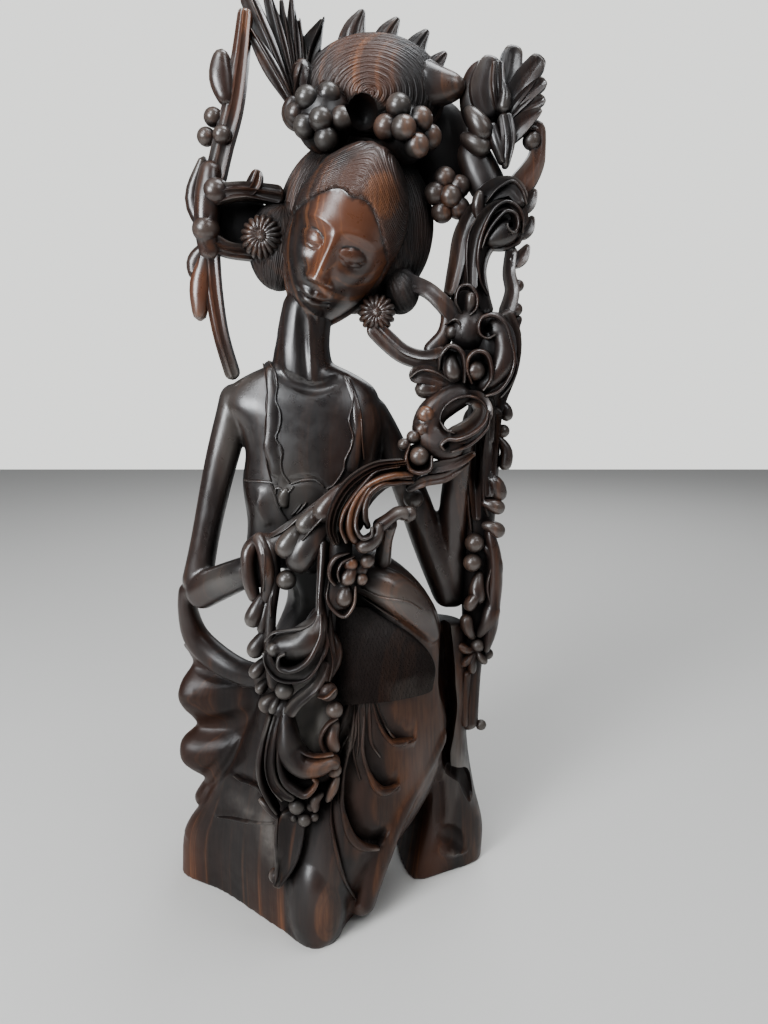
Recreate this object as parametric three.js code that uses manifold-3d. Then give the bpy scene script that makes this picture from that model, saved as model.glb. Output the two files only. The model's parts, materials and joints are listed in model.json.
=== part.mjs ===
// A kneeling goddess carved from one block of streaked ebony, in the Balinese manner, about 51 cm tall.
// Millimetres, +Z up, she faces -Y, and the origin is on the underside, in the middle of her base.
import * as THREE from "three";
import { mergeVertices } from "three/addons/utils/BufferGeometryUtils.js";
import Module from "manifold-3d";

const wasm = await Module();
wasm.setup();

// Driving sizes
const HEAD = { centre: [12, -2, 385], halfWidth: 28.5, halfDepth: 34, halfHeight: 50 };
const HEAD_LEAN = THREE.MathUtils.degToRad(25); // crown towards +X, chin towards -X
const HEAD_BOW = THREE.MathUtils.degToRad(14); // she looks down
const HAIR = { centre: [19, 14, 396], halfWidth: 44, halfDepth: 25, halfHeight: 48 };
const COIFFURE = { centre: [29, 18, 467], halfWidth: 40, halfDepth: 25, halfHeight: 33 };
const BERRY = 5.7; // radius of a fruit in her hair
const SMALL_BEAD = 4.8; // radius of a bead on the garland
const SMOOTHING = 0.9; // how far the last clean-up may move the surface
const TOWARDS_VIEWER = [0, -1, 0];

const vector = (p) => new THREE.Vector3(...p);

// A list of values read as one smooth curve, at a share t of its length.
function blendAt(values, t) {
  if (typeof values === "number") return values;
  const curve = new THREE.SplineCurve(values.map((value, i) => new THREE.Vector2(i, value)));
  return curve.getPoint(t).y;
}

// A closed three.js geometry as a solid that can be joined and cut.
function solidFromGeometry(geometry) {
  geometry.deleteAttribute("normal");
  geometry.deleteAttribute("uv");
  const merged = mergeVertices(geometry, 1e-4);
  const vertProperties = merged.attributes.position.array;
  const triVerts = new Uint32Array(merged.index.array);
  const solid = new wasm.Manifold(new wasm.Mesh({ numProp: 3, vertProperties, triVerts }));
  if (solid.volume() > 0) return solid;
  triVerts.reverse();
  return new wasm.Manifold(new wasm.Mesh({ numProp: 3, vertProperties, triVerts }));
}

// One closed solid from rings of points, all with the same count, with a pole closing each end.
function solidFromRings(rings, firstPole, lastPole) {
  const sides = rings[0].length;
  const places = [firstPole, ...rings.flat(), lastPole];
  const last = places.length - 1;
  const at = (ring, side) => 1 + ring * sides + (side % sides);
  const faces = [];
  for (let side = 0; side < sides; side++) {
    faces.push(0, at(0, side + 1), at(0, side));
    for (let ring = 0; ring < rings.length - 1; ring++) {
      faces.push(at(ring, side), at(ring, side + 1), at(ring + 1, side + 1));
      faces.push(at(ring, side), at(ring + 1, side + 1), at(ring + 1, side));
    }
    faces.push(last, at(rings.length - 1, side), at(rings.length - 1, side + 1));
  }
  const geometry = new THREE.BufferGeometry().setFromPoints(places);
  geometry.setIndex(faces);
  return solidFromGeometry(geometry);
}

// A rounded strip of wood along a smooth path: a limb, stem or scroll. wide and thick are half sizes
// across it and towards the viewer, and both ends are rounded off.
function strip(path, wide, thick, { sides = 6, steps = Math.round(path.length * 1.4) } = {}) {
  const curve = new THREE.CatmullRomCurve3(path.map(vector), false, "centripetal");
  const length = curve.getLength();
  const rings = [];
  for (let step = 0; step <= steps; step++) {
    const t = (1 - Math.cos((Math.PI * (step + 0.35)) / (steps + 0.7))) / 2;
    const centre = curve.getPointAt(t);
    const along = curve.getTangentAt(t);
    const across = along.clone().cross(vector(TOWARDS_VIEWER)).normalize();
    const out = across.clone().cross(along).normalize();
    const w = blendAt(wide, t);
    const fromEnd = Math.min(1, (Math.min(t, 1 - t) * length) / w);
    const rounding = Math.sqrt(1 - (1 - fromEnd) ** 2);
    const ring = [];
    for (let side = 0; side < sides; side++) {
      const angle = (2 * Math.PI * side) / sides;
      ring.push(
        centre
          .clone()
          .addScaledVector(across, w * rounding * Math.cos(angle))
          .addScaledVector(out, blendAt(thick, t) * rounding * Math.sin(angle)),
      );
    }
    rings.push(ring);
  }
  return solidFromRings(rings, curve.getPointAt(0), curve.getPointAt(1));
}

// A petal or leaf: a short blade with a ridge down its middle, widest half way along.
function leaf(root, middle, tip, wide, thick) {
  return strip([root, middle, tip], [wide * 0.6, wide, wide * 0.6], thick, { sides: 4, steps: 3 });
}

function bead([x, y, z], radius = SMALL_BEAD, detail = radius > 7.5 ? 1 : 0) {
  return solidFromGeometry(new THREE.IcosahedronGeometry(radius, detail).translate(x, y, z));
}

// A smooth closed loop through the x, y points, at one height.
function loopAt(height, points, sides) {
  const places = points.map(([x, y]) => new THREE.Vector3(x, y, height));
  const curve = new THREE.CatmullRomCurve3(places, true, "centripetal");
  return Array.from({ length: sides }, (_, i) => curve.getPoint(i / sides));
}

// A mass of the block between level cuts: each level is [height, its loop of x, y points].
function mass(levels, sides) {
  const rings = levels.map(([height, points]) => loopAt(height, points, sides));
  const middle = (ring) =>
    ring.reduce((sum, p) => sum.add(p), new THREE.Vector3()).divideScalar(ring.length);
  return solidFromRings(rings, middle(rings[0]), middle(rings.at(-1)));
}

// A rounded level cut, from its left, right, front and back limits.
function oval(left, right, front, back) {
  const x = (left + right) / 2;
  const y = (front + back) / 2;
  const [a, b] = [(right - left) / 2, (back - front) / 2];
  return Array.from({ length: 12 }, (_, i) => {
    const [c, s] = [Math.cos((i * Math.PI) / 6), Math.sin((i * Math.PI) / 6)];
    return [x - a * Math.sign(c) * Math.abs(c) ** 0.85, y - b * Math.sign(s) * Math.abs(s) ** 0.85];
  });
}

// An egg-shaped form, shaped from a unit ball and turned about its middle.
function egg({ centre, halfWidth, halfDepth, halfHeight }, turn, around, up, shape = (p) => p) {
  const sphere = new THREE.SphereGeometry(1, around, up).rotateX(Math.PI / 2);
  const place = sphere.attributes.position;
  for (let i = 0; i < place.count; i++) {
    const made = shape(new THREE.Vector3().fromBufferAttribute(place, i));
    made.multiply(new THREE.Vector3(halfWidth, halfDepth, halfHeight));
    made.applyEuler(turn).add(vector(centre));
    place.setXYZ(i, made.x, made.y, made.z);
  }
  return solidFromGeometry(sphere);
}

const upright = new THREE.Euler(0, 0, 0);
const headTurn = new THREE.Euler(HEAD_BOW, HEAD_LEAN, 0, "YXZ");

function lump(centre, [halfWidth, halfDepth, halfHeight], around = 7, up = 5) {
  return egg({ centre, halfWidth, halfDepth, halfHeight }, upright, around, up);
}

// The face narrows to a small chin, with a straight nose and a level brow on its front.
function faceShape(unit) {
  const low = Math.max(0, -unit.z);
  const front = Math.max(0, -unit.y);
  const high = Math.max(0, unit.z);
  const narrow = 1 - 0.4 * low ** 2.4 + 0.3 * high * (1 - high);
  const nose = Math.exp(-((unit.x / 0.15) ** 2)) * Math.exp(-(((unit.z + 0.28) / 0.2) ** 2));
  const brow = Math.exp(-(((unit.z - 0.12) / 0.14) ** 2));
  const depth = unit.y * (1 - 0.12 * low) - front * (0.22 * nose + 0.05 * brow);
  return new THREE.Vector3(unit.x * narrow, depth, unit.z);
}

// The skirt over her knees: it spreads to a corner at her right and a rounded point in front, and
// an arch at her left parts it from the train.
const skirt = mass(
  [
    [0, [[-95, 6], [-62, -17], [-28, -45], [-2, -63], [14, -42], [26, -8], [28, 36], [-14, 50], [-72, 44]]],
    [33, [[-90, 6], [-60, -18], [-28, -45], [0, -62], [24, -44], [42, -14], [40, 32], [-12, 50], [-68, 44]]],
    [50, [[-78, 5], [-56, -18], [-28, -43], [5, -60], [33, -41], [54, -14], [54, 28], [-10, 48], [-62, 44]]],
    [75, [[-63, 2], [-49, -18], [-26, -40], [10, -55], [40, -38], [66, -12], [60, 28], [-8, 47], [-56, 42]]],
    [100, [[-49, 0], [-42, -16], [-22, -36], [12, -48], [45, -33], [71, -8], [64, 26], [-6, 45], [-48, 40]]],
    [128, [[-38, 0], [-34, -14], [-14, -31], [14, -43], [46, -31], [71, -6], [66, 24], [-4, 42], [-40, 36]]],
    [155, [[-31, 2], [-25, -12], [-8, -27], [16, -37], [46, -30], [70, -6], [63, 22], [-2, 38], [-32, 30]]],
    [180, [[-24, 2], [-19, -12], [-3, -24], [18, -33], [44, -27], [64, -6], [56, 19], [0, 33], [-25, 27]]],
    [202, [[-34, 2], [-25, -12], [-10, -19], [10, -25], [30, -21], [47, -5], [38, 16], [-5, 27], [-28, 22]]],
    [222, [[-43, 3], [-35, -11], [-21, -15], [-8, -16], [6, -14], [16, 0], [10, 14], [-14, 21], [-34, 17]]],
  ],
  16,
);

// The train of the skirt at her left, standing on its own foot
const train = mass(
  [
    [0, [[46, 16], [55, -4], [74, 3], [98, 18], [96, 44], [68, 54], [46, 46]]],
    [26, [[53, 12], [61, -4], [78, 2], [98, 16], [95, 42], [68, 52], [50, 42]]],
    [46, [[56, 10], [65, -3], [80, 2], [92, 13], [92, 40], [68, 50], [48, 40]]],
    [90, [[58, 4], [70, -4], [80, 0], [86, 10], [86, 34], [64, 44], [40, 36]]],
    [125, [[60, 4], [70, -4], [80, 0], [88, 11], [84, 30], [60, 38], [38, 30]]],
    [165, [[58, 6], [66, 0], [76, 3], [84, 11], [78, 24], [60, 30], [46, 22]]],
  ],
  10,
);

// The sash that billows from her right elbow to the ground, its edge in waves
const sashEdge = [
  [40, -72, 12], [49, -80, 12], [60, -84, 11], [70, -91, 9], [80, -85, 14], [89, -93, 9], [101, -82, 14],
  [112, -83, 13], [125, -91, 8], [135, -84, 13], [142, -86, 9], [150, -82, 12],
];
const sash = [
  mass(
    sashEdge.map(([z, x, y]) => {
      const inner = z < 126 ? -64 + Math.max(0, z - 50) * 0.36 : -37 - (z - 126) * 1.5;
      return [z, [[x, y - 3], [(x + inner) / 2, y - 9], [inner + 6, 2], [inner + 8, 24], [x + 18, y + 16], [x, y + 5]]];
    }),
    8,
  ),
  strip([[-82, 3, 180], [-79, 5, 158], [-67, 2, 145], [-50, -6, 139], [-30, -18, 141]], [5, 8, 9, 8, 6], 9),
];

// Folds of the skirt that fall from the knot at her lap, and the thick fold over her left shin
const folds = [
  strip([[18, -40, 139], [14, -45, 117], [16, -50, 84], [29, -47, 60]], [2.6, 3.4, 4, 2.6], 7, { sides: 4 }),
  strip([[23, -38, 138], [21, -42, 116], [24, -45, 96], [41, -37, 81]], [2.6, 3.4, 3.4, 2.6], 7, { sides: 4 }),
  strip([[29, -36, 137], [31, -39, 120], [39, -35, 107], [50, -29, 101]], [2.6, 3.4, 3.4, 2.6], 6, { sides: 4 }),
  strip([[66, -3, 110], [66, -7, 90], [54, -14, 62], [38, -24, 36], [22, -34, 8]], [8, 9, 10, 11, 10], [13, 14, 14, 13, 12]),
];

// The smooth cloth over her hip, and the rough end of a sash that lies across her lap
const lap = [
  strip([[14, -26, 207], [36, -28, 198], [52, -22, 183], [64, -11, 162]], [7, 11, 10, 5], [9, 11, 10, 7]),
  mass(
    [
      [136, [[10, -44], [26, -43], [44, -38], [62, -26], [60, -10], [20, -20]]],
      [147, [[10, -43], [26, -42], [44, -36], [64, -23], [60, -8], [20, -18]]],
      [168, [[9, -39], [24, -39], [40, -35], [52, -28], [44, -10], [18, -16]]],
      [188, [[9, -34], [14, -35], [20, -34], [26, -32], [22, -14], [12, -16]]],
    ],
    8,
  ),
];

// Torso and neck
const torso = [
  mass(
    [
      [205, oval(-48, 14, -16, 24)],
      [228, oval(-45, 15, -16, 23)],
      [253, oval(-47, 29, -18, 24)],
      [272, oval(-45, 33, -18, 23)],
      [285, oval(-49, 36, -17, 22)],
      [298, oval(-57, 36, -15, 21)],
      [310, oval(-53, 33, -12, 19)],
      [318, oval(-33, 10, -10, 17)],
    ],
    12,
  ),
  strip([[-11, 4, 300], [-11, 3, 319], [-10, 1, 338], [-4, 0, 362]], [19, 17, 15.5, 15], 14, { steps: 4, sides: 8 }),
];

// Arms: the right one bends forward at the elbow, the left one goes down and comes back up
const arms = [
  strip([[-48, 4, 309], [-52, 3, 290], [-61, 2, 257], [-69, 1, 223], [-77, 0, 186]], [9, 9.7, 8.7, 8.2, 9.5], 9.5),
  strip([[-78, 1, 184], [-63, -10, 194], [-46, -24, 204], [-32, -32, 211]], [10, 10.4, 9.5, 8], [11, 10, 9, 8]),
  strip([[27, 5, 301], [35, 8, 283], [48, 13, 252], [63, 18, 212], [78, 22, 172]], [8.6, 9, 10, 10.4, 9.4], 10),
  strip([[78, 23, 171], [77, 20, 202], [77, 15, 234], [79, 10, 262], [81, 4, 286]], [8.6, 9.2, 9, 8.2, 7], 9.5),
];

// Her bowed head, the hair that frames it, and the flower and bun at each side of her neck
const head = [
  egg(HEAD, headTurn, 16, 12, faceShape),
  egg(HAIR, upright, 12, 8),
  lump([-24, 8, 384], [17, 15, 24]),
  lump([44, 5, 360], [11, 12, 13]),
  bead([-31, -4, 387], 9),
  bead([31, -8, 347], 8),
];

// The coiled hair above, hollow in front, with a crown of five points round its top
const crownPoints = [
  [[4, 16, 484], [4, 16, 504]],
  [[21, 16, 488], [24, 16, 509]],
  [[37, 16, 488], [43, 16, 504]],
  [[51, 16, 480], [59, 16, 497]],
  [[61, 16, 472], [70, 16, 486]],
];
const crown = [
  egg(COIFFURE, upright, 14, 9).subtract(bead([24, -9, 447], 11)),
  ...crownPoints.map(([root, tip]) => strip([root, tip], [10, 1.5], [5, 1.5], { steps: 2, sides: 4 })),
  strip([[56, 20, 470], [72, 20, 460], [90, 12, 444]], [20, 18, 9], [16, 12, 9], { steps: 3 }),
  strip([[60, 20, 458], [68, 14, 434], [70, 12, 402]], [14, 14, 10], [12, 10, 9], { steps: 3 }),
];

// Fruit in three clusters in front of the hair, each on a rounded bed of leaves
const fruit = [
  lump([3, 0, 447], [15, 14, 17]),
  lump([46, 0, 440], [13, 14, 15]),
  ...[
    [-6, -8, 455], [5, -10, 457], [2, -14, 441], [12, -12, 443], [5, -12, 434], [-7, -10, 443],
    [42, -13, 449], [54, -8, 446], [45, -16, 438], [52, -12, 430], [36, -13, 438],
    [68, 4, 419], [63, 3, 411], [71, 1, 409], [76, 5, 404], [67, 5, 402], [76, 5, 415],
  ].map((place) => bead(place, BERRY)),
];

// Five long feathers that fan out at the upper left, on a web, with a bud at their root
const feathers = [
  strip([[-10, 13, 450], [-17, 13, 468], [-18, 13, 488]], [7, 11, 11], [7, 4, 3], { steps: 3 }),
  strip([[-13, 8, 456], [-28, 6, 484], [-34, 4, 511]], [4, 5.4, 3], [5, 3.4, 2.2], { steps: 3, sides: 4 }),
  strip([[-12, 9, 460], [-21, 9, 486], [-26, 9, 513]], [4, 5.2, 3], [5, 3.4, 2.2], { steps: 3, sides: 4 }),
  strip([[-11, 11, 462], [-13, 11, 486], [-14, 11, 512]], [4, 5, 3], [5, 3.4, 2.2], { steps: 3, sides: 4 }),
  strip([[-9, 13, 463], [-8, 13, 482], [-9, 14, 502]], [4, 4.8, 2.6], [5, 3.4, 2.2], { steps: 3, sides: 4 }),
  strip([[-6, 14, 464], [-3, 14, 480], [-2, 15, 493]], [4, 4.4, 2.6], [5, 3.4, 2.2], { steps: 3, sides: 4 }),
  leaf([-12, 4, 443], [-15, 3, 451], [-13, 4, 460], 5, 5),
];

// The leafy stave at her right, from her shoulder to the height of the crown, and its two ties
const stave = [
  strip([[-37, 2, 502], [-41, 2, 477], [-46, 2, 453], [-52, 1, 433], [-57, 0, 414]], [3.7, 4.8, 5.9, 5.9, 6], 5, { steps: 5 }),
  strip([[-57, 0, 427], [-60, -2, 407], [-61, -3, 390], [-59, -2, 374]], [5.9, 7, 6.5, 5.5], [6, 8, 7, 5], { steps: 4 }),
  strip([[-60, -2, 384], [-59, -1, 360], [-56, 0, 336], [-50, 3, 311]], [5.5, 5, 4.5, 4.5], 4.8, { steps: 4 }),
  leaf([-48, 1, 454], [-51, 0, 468], [-50, 0, 482], 6, 4),
  bead([-56, 1, 449]),
  bead([-60, 0, 439]),
  bead([-51, -3, 439]),
  bead([-55, -5, 410], 7.4),
  bead([-61, -5, 391], 7.4),
  strip([[-58, -3, 408], [-45, -5, 410], [-37, -1, 411], [-20, 6, 410]], [6.4, 4.8, 5, 6], 6, { steps: 4 }),
  leaf([-40, -2, 408], [-35, -2, 414], [-32, -2, 422], 4, 4),
  strip([[-61, -2, 386], [-50, 0, 381], [-39, 3, 380], [-26, 8, 380]], [6, 4.6, 4.8, 6], [7, 6, 6, 8], { steps: 4 }),
  strip([[-56, 7, 397], [-42, 9, 397], [-28, 12, 396]], [13, 14, 14], 3.5, { steps: 3, sides: 4 }),
  leaf([-62, 3, 430], [-70, 6, 408], [-62, 3, 388], 4.4, 4),
  leaf([-62, -1, 384], [-69, 0, 374], [-69, 0, 365], 4.4, 4),
  leaf([-61, -1, 382], [-66, -2, 362], [-67, -2, 343], 5.4, 4.5),
];

// The spray of leaves at the upper right, and the two stems that carry it
const spray = [
  strip([[91, 10, 440], [88, 12, 464], [96, 12, 485]], [5, 8, 4], [6, 4.5, 3], { steps: 3, sides: 4 }),
  strip([[92, 8, 442], [99, 8, 465], [107, 8, 487]], [5, 7, 5], [6, 4.5, 3], { steps: 3, sides: 4 }),
  strip([[92, 6, 443], [107, 6, 463], [120, 6, 480]], [5, 7, 4.5], [5, 4.5, 3], { steps: 3, sides: 4 }),
  strip([[93, 5, 442], [108, 4, 456], [120, 4, 468]], [4, 5.6, 4.3], [5, 4, 3], { steps: 3, sides: 4 }),
  leaf([94, 4, 441], [107, 2, 447], [119, 2, 453], 5, 4),
  leaf([94, 3, 446], [97, 0, 433], [100, 2, 421], 5.2, 5),
  leaf([94, 6, 446], [84, 4, 448], [77, 9, 456], 7, 6),
  leaf([74, 8, 432], [86, 4, 439], [98, 4, 431], 8, 7),
  strip([[107, 8, 408], [113, 10, 424], [118, 10, 436], [115, 9, 447]], [5, 5.5, 5.5, 4.5], 6, { steps: 4 }),
  strip([[94, 9, 449], [96, 9, 430], [100, 7, 408]], 7, 7, { steps: 3 }),
];

// The top volute of the garland, a solid curl over an open loop, with thorns on its outer side
const topVolute = [
  strip(
    [[82, 4, 348], [81, 6, 378], [87, 6, 401], [97, 5, 412], [107, 4, 407], [110, 3, 398], [105, 2, 391]],
    [8, 8, 8.8, 8.2, 6.6, 5, 4],
    6,
    { steps: 8 },
  ),
  lump([99, 5, 395], [13, 6, 14]),
  strip([[86, 4, 350], [89, 4, 366], [94, 4, 382], [104, 4, 385], [110, 5, 394]], [4, 3, 5, 5, 4], 6, { steps: 5 }),
  strip([[109, 6, 392], [108, 8, 376], [108, 7, 360], [103, 4, 342]], [4, 3.6, 4.4, 5], [5, 5, 6, 6], { steps: 4 }),
  leaf([105, 7, 403], [113, 8, 409], [119, 8, 415], 5, 4),
  leaf([105, 7, 386], [112, 8, 393], [117, 8, 400], 5, 4),
  leaf([105, 7, 373], [110, 8, 379], [114, 8, 386], 4.4, 4),
  leaf([87, 4, 395], [86, 3, 404], [84, 3, 412], 4.4, 4),
];

// The bars that tie the garland to her hair, and the volute, buds and petals where they meet
const knot = [
  strip([[40, 0, 366], [58, -2, 356], [71, 1, 345], [80, 2, 332]], [5.4, 5.5, 6, 6], 7, { steps: 5 }),
  strip([[27, -5, 344], [41, -6, 330], [55, -4, 320], [76, -2, 319]], [5.5, 6.6, 7.2, 6.2], 8, { steps: 5 }),
  strip([[71, 2, 348], [73, 0, 333], [71, -2, 318]], 5, 6, { steps: 2 }),
  strip([[76, 4, 354], [84, 0, 335], [82, -2, 312], [76, -4, 298]], [6, 9, 10, 9], 8, { steps: 4 }),
  lump([93, -1, 325], [12, 6, 19]),
  leaf([80, -3, 344], [80, -6, 354], [80, -3, 365], 5.6, 6),
  bead([81, -7, 338], 6.6),
  strip(
    [[88, -6, 336], [91, -7, 344], [99, -7, 343], [104, -6, 333], [103, -6, 318], [95, -8, 308], [84, -9, 302]],
    [3.5, 4.6, 5.4, 6.2, 6.6, 5.6, 4],
    [6, 7, 7, 8, 8, 7, 6],
    { steps: 7 },
  ),
  bead([85, -11, 317], 6.2),
  leaf([73, -8, 306], [72, -12, 318], [74, -7, 330], 6.6, 7),
  leaf([76, -4, 313], [62, -8, 312], [49, -8, 304], 7, 5),
  leaf([72, -5, 304], [61, -8, 302], [51, -7, 298], 5.6, 5),
];

// The open ring under the knot: it carries fruit on its left and turns into the big scroll
const ring = [
  strip(
    [[80, -6, 304], [66, -8, 297], [58, -12, 286], [60, -14, 274], [70, -15, 267], [84, -12, 271], [93, -9, 282], [92, -7, 297], [80, -6, 305]],
    [5, 6, 7, 7, 6, 5, 4.6, 4.6, 5],
    8,
    { steps: 9 },
  ),
  strip([[92, -11, 289], [84, -14, 280], [74, -16, 275], [62, -16, 276]], [3.6, 5.6, 6.4, 5], 6, { steps: 4 }),
  bead([57, -13, 293]),
  bead([53, -17, 283]),
  bead([48, -17, 277]),
  bead([55, -21, 270], 6.2),
  strip([[43, -18, 270], [56, -16, 264], [68, -15, 262], [86, -11, 271]], [6, 6, 5, 3.4], [7, 6, 6, 4], { steps: 4 }),
  leaf([44, -16, 250], [58, -16, 255], [84, -11, 268], 5, 5),
];

// The big scroll across her waist, with a stub that rests on her hip
const bigScroll = [
  strip(
    [[52, -19, 266], [36, -26, 263], [23, -32, 256], [17, -37, 244], [19, -41, 232], [26, -43, 229], [29, -42, 237]],
    [6, 7.4, 8.4, 9, 8.4, 6, 3.6],
    [7, 8, 9, 9, 9, 8, 6],
    { steps: 8 },
  ),
  strip([[42, -25, 260], [31, -31, 253], [27, -37, 243], [30, -40, 233]], [3, 3.4, 3.6, 4], 7, { steps: 4 }),
  strip([[27, -38, 230], [36, -35, 236], [43, -32, 239], [49, -29, 239]], [5, 4.4, 4.4, 5], 7, { steps: 4 }),
  strip([[36, -34, 238], [34, -30, 225], [32, -22, 206]], [4, 4.6, 6], [6, 7, 9], { steps: 2 }),
  bead([50, 2, 247], 6.8),
];

// The buds below the big scroll, and the broad petal that hangs from them
const waistBuds = [
  strip([[14, -38, 232], [13, -43, 219], [14, -44, 202]], [6, 6.4, 5], 7, { steps: 3 }),
  bead([18, -48, 217]),
  bead([15, -49, 209]),
  bead([22, -44, 206]),
  leaf([17, -43, 216], [16, -48, 201], [15, -47, 186], 6.4, 6),
];

// Petals on the slanting band from the big scroll to her right hand
const slantingBand = [
  strip([[17, -36, 248], [3, -34, 238], [-9, -33, 230], [-20, -34, 223], [-31, -36, 222]], [5, 8.6, 9.7, 10.8, 7.5], 8, {
    steps: 4,
  }),
  leaf([-24, -39, 213], [-18, -42, 225], [-10, -39, 236], 6, 5),
  leaf([-15, -39, 225], [-8, -42, 235], [2, -39, 243], 6.4, 5),
  leaf([-15, -39, 207], [-5, -42, 222], [9, -39, 240], 6.8, 5),
  leaf([-5, -40, 235], [4, -42, 245], [13, -39, 253], 6, 5),
  strip([[-6, -18, 210], [2, -32, 222], [8, -38, 238]], [8, 8, 6], [12, 8, 7], { steps: 2 }),
];

// Her right hand, bent down at the wrist, and the string of petals under it
const handAndPetals = [
  strip([[-31, -32, 233], [-36, -37, 217], [-36, -38, 203], [-34, -38, 190]], [6, 6.4, 5.4, 3.4], 6.4, { steps: 4 }),
  strip([[-26, -36, 231], [-28, -40, 216], [-27, -40, 202], [-28, -40, 189]], [5, 5, 4.4, 3.6], 7, { steps: 4 }),
  leaf([-33, -39, 196], [-36, -42, 185], [-40, -42, 174], 6, 5),
  leaf([-27, -41, 196], [-29, -43, 185], [-31, -42, 174], 5, 5),
  leaf([-28, -42, 178], [-35, -43, 168], [-39, -43, 159], 5.6, 5),
  leaf([-28, -44, 167], [-34, -45, 158], [-38, -45, 150], 5, 5),
  leaf([-20, -47, 147], [-29, -49, 141], [-36, -49, 136], 6.6, 5),
  leaf([-15, -50, 147], [-20, -52, 139], [-24, -52, 132], 5.6, 5),
  bead([-18, -43, 207], 5.6),
  strip([[-24, -37, 228], [-22, -40, 205], [-24, -42, 181], [-28, -44, 164], [-26, -46, 142]], 4.6, 7, { steps: 4 }),
];

// The middle scroll, its upper lip, and the stems on its right
const middleScroll = [
  strip(
    [[10, -42, 230], [4, -46, 204], [2, -50, 187], [-4, -53, 175], [-13, -55, 167], [-22, -55, 171], [-23, -54, 180], [-16, -54, 178]],
    [5, 5.4, 7, 9, 8.6, 6, 4.4, 3],
    [8, 8, 8, 9, 9, 8, 7, 6],
    { steps: 9 },
  ),
  strip([[1, -46, 192], [-8, -49, 183], [-17, -49, 180], [-26, -45, 182]], [3, 4, 4.6, 4.6], 7, { steps: 4 }),
  strip([[4, -50, 180], [1, -51, 160], [-9, -52, 148], [-20, -52, 139]], [5, 6, 5, 5], 7, { steps: 4 }),
  strip([[10, -45, 206], [9, -48, 176], [6, -50, 152]], [4, 5, 4], 7, { steps: 3 }),
  bead([-19, -54, 149], 5.6),
  bead([5, -53, 147], 5.8),
  bead([7, -51, 138]),
];

// The lowest scroll and the tongue that ends the garland on her knee
const lowScroll = [
  strip(
    [[2, -49, 158], [-11, -52, 145], [-19, -54, 131], [-23, -57, 116], [-19, -60, 104], [-10, -61, 98], [-1, -60, 103], [-4, -60, 110]],
    [4, 5, 6.4, 7.6, 7.6, 6.4, 4.6, 3],
    [7, 7, 8, 9, 9, 8, 7, 6],
    { steps: 9 },
  ),
  strip([[-17, -54, 137], [-14, -56, 122], [-8, -57, 115], [3, -57, 117]], [3, 4, 4.6, 4.6], 7, { steps: 4 }),
  strip([[7, -50, 143], [8, -53, 124], [5, -55, 110], [-2, -56, 102]], [3, 4, 4, 4], 6, { steps: 4 }),
  leaf([3, -54, 112], [8, -55, 104], [9, -54, 95], 4.6, 5),
  leaf([2, -56, 103], [6, -56, 93], [7, -55, 83], 4.6, 5),
  bead([-17, -61, 88]),
  bead([-9, -62, 88]),
  bead([-2, -60, 90]),
  strip([[-18, -57, 106], [-12, -57, 90], [-13, -57, 70], [-20, -57, 48], [-24, -56, 38]], [5, 8, 7, 4.6, 2.6], [9, 9, 9, 8, 6], {
    steps: 5,
  }),
  leaf([-15, -57, 94], [-25, -55, 84], [-30, -52, 75], 5, 5),
];

// The chain of leaves down her left side, from the knot to the train
const chain = [
  strip([[102, 4, 350], [108, 8, 334], [107, 8, 318], [101, 9, 302], [95, 12, 284]], [4.6, 5.1, 5.2, 5.8, 6], 7, { steps: 5 }),
  strip([[90, -2, 306], [91, 6, 292], [92, 12, 272]], [7, 8, 8], 8, { steps: 2 }),
  strip(
    [[91, 12, 294], [92, 16, 258], [94, 20, 220], [93, 22, 182], [90, 20, 150], [88, 16, 112], [88, 12, 80]],
    [8, 10.4, 11, 10.4, 9, 8.2, 7],
    8.5,
    { steps: 7 },
  ),
  strip([[85, 6, 290], [83, 14, 240], [84, 18, 202], [84, 18, 170], [78, 14, 140]], [5.3, 6, 6, 6, 7], 8, { steps: 4 }),
  leaf([101, 13, 304], [104, 15, 292], [100, 16, 280], 4.6, 5),
  leaf([101, 16, 282], [105, 17, 272], [100, 17, 260], 4.6, 5),
  leaf([101, 17, 254], [106, 18, 240], [102, 19, 222], 4.6, 5),
  bead([90, 9, 216], 6),
  bead([90, 9, 202], 6),
  leaf([90, 11, 192], [88, 8, 179], [87, 9, 167], 6, 5),
  leaf([89, 9, 173], [86, 6, 164], [85, 7, 154], 5.4, 5),
  bead([90, 8, 155]),
  bead([84, 7, 151]),
  bead([97, 18, 142]),
  bead([94, 12, 95]),
];

// Everything is one block of wood, so all the forms are joined into one solid, without the hollows
// that no knife could reach.
const forms = [
  skirt, train, ...sash, ...folds, ...lap, ...torso, ...arms, ...head, ...crown, ...fruit, ...feathers,
  ...stave, ...spray, ...topVolute, ...knot, ...ring, ...bigScroll, ...waistBuds, ...slantingBand,
  ...handAndPetals, ...middleScroll, ...lowScroll, ...chain,
];
const joined = forms.reduce((whole, form) => whole.add(form)).asOriginal().simplify(SMOOTHING);
const [block] = joined.decompose().sort((a, b) => b.volume() - a.volume());

function geometryOf(solid) {
  const { vertProperties, triVerts } = solid.getMesh();
  const geometry = new THREE.BufferGeometry();
  geometry.setAttribute("position", new THREE.BufferAttribute(new Float32Array(vertProperties), 3));
  geometry.setIndex(new THREE.BufferAttribute(triVerts, 1));
  geometry.computeVertexNormals();
  return geometry;
}

const ebony = new THREE.MeshStandardMaterial({ color: 0x2e1b14, roughness: 0.38, metalness: 0 });
const figure = new THREE.Mesh(geometryOf(block), ebony);
figure.name = "carved_figure";

const statue = new THREE.Group();
statue.add(figure);
export default statue;
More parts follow.
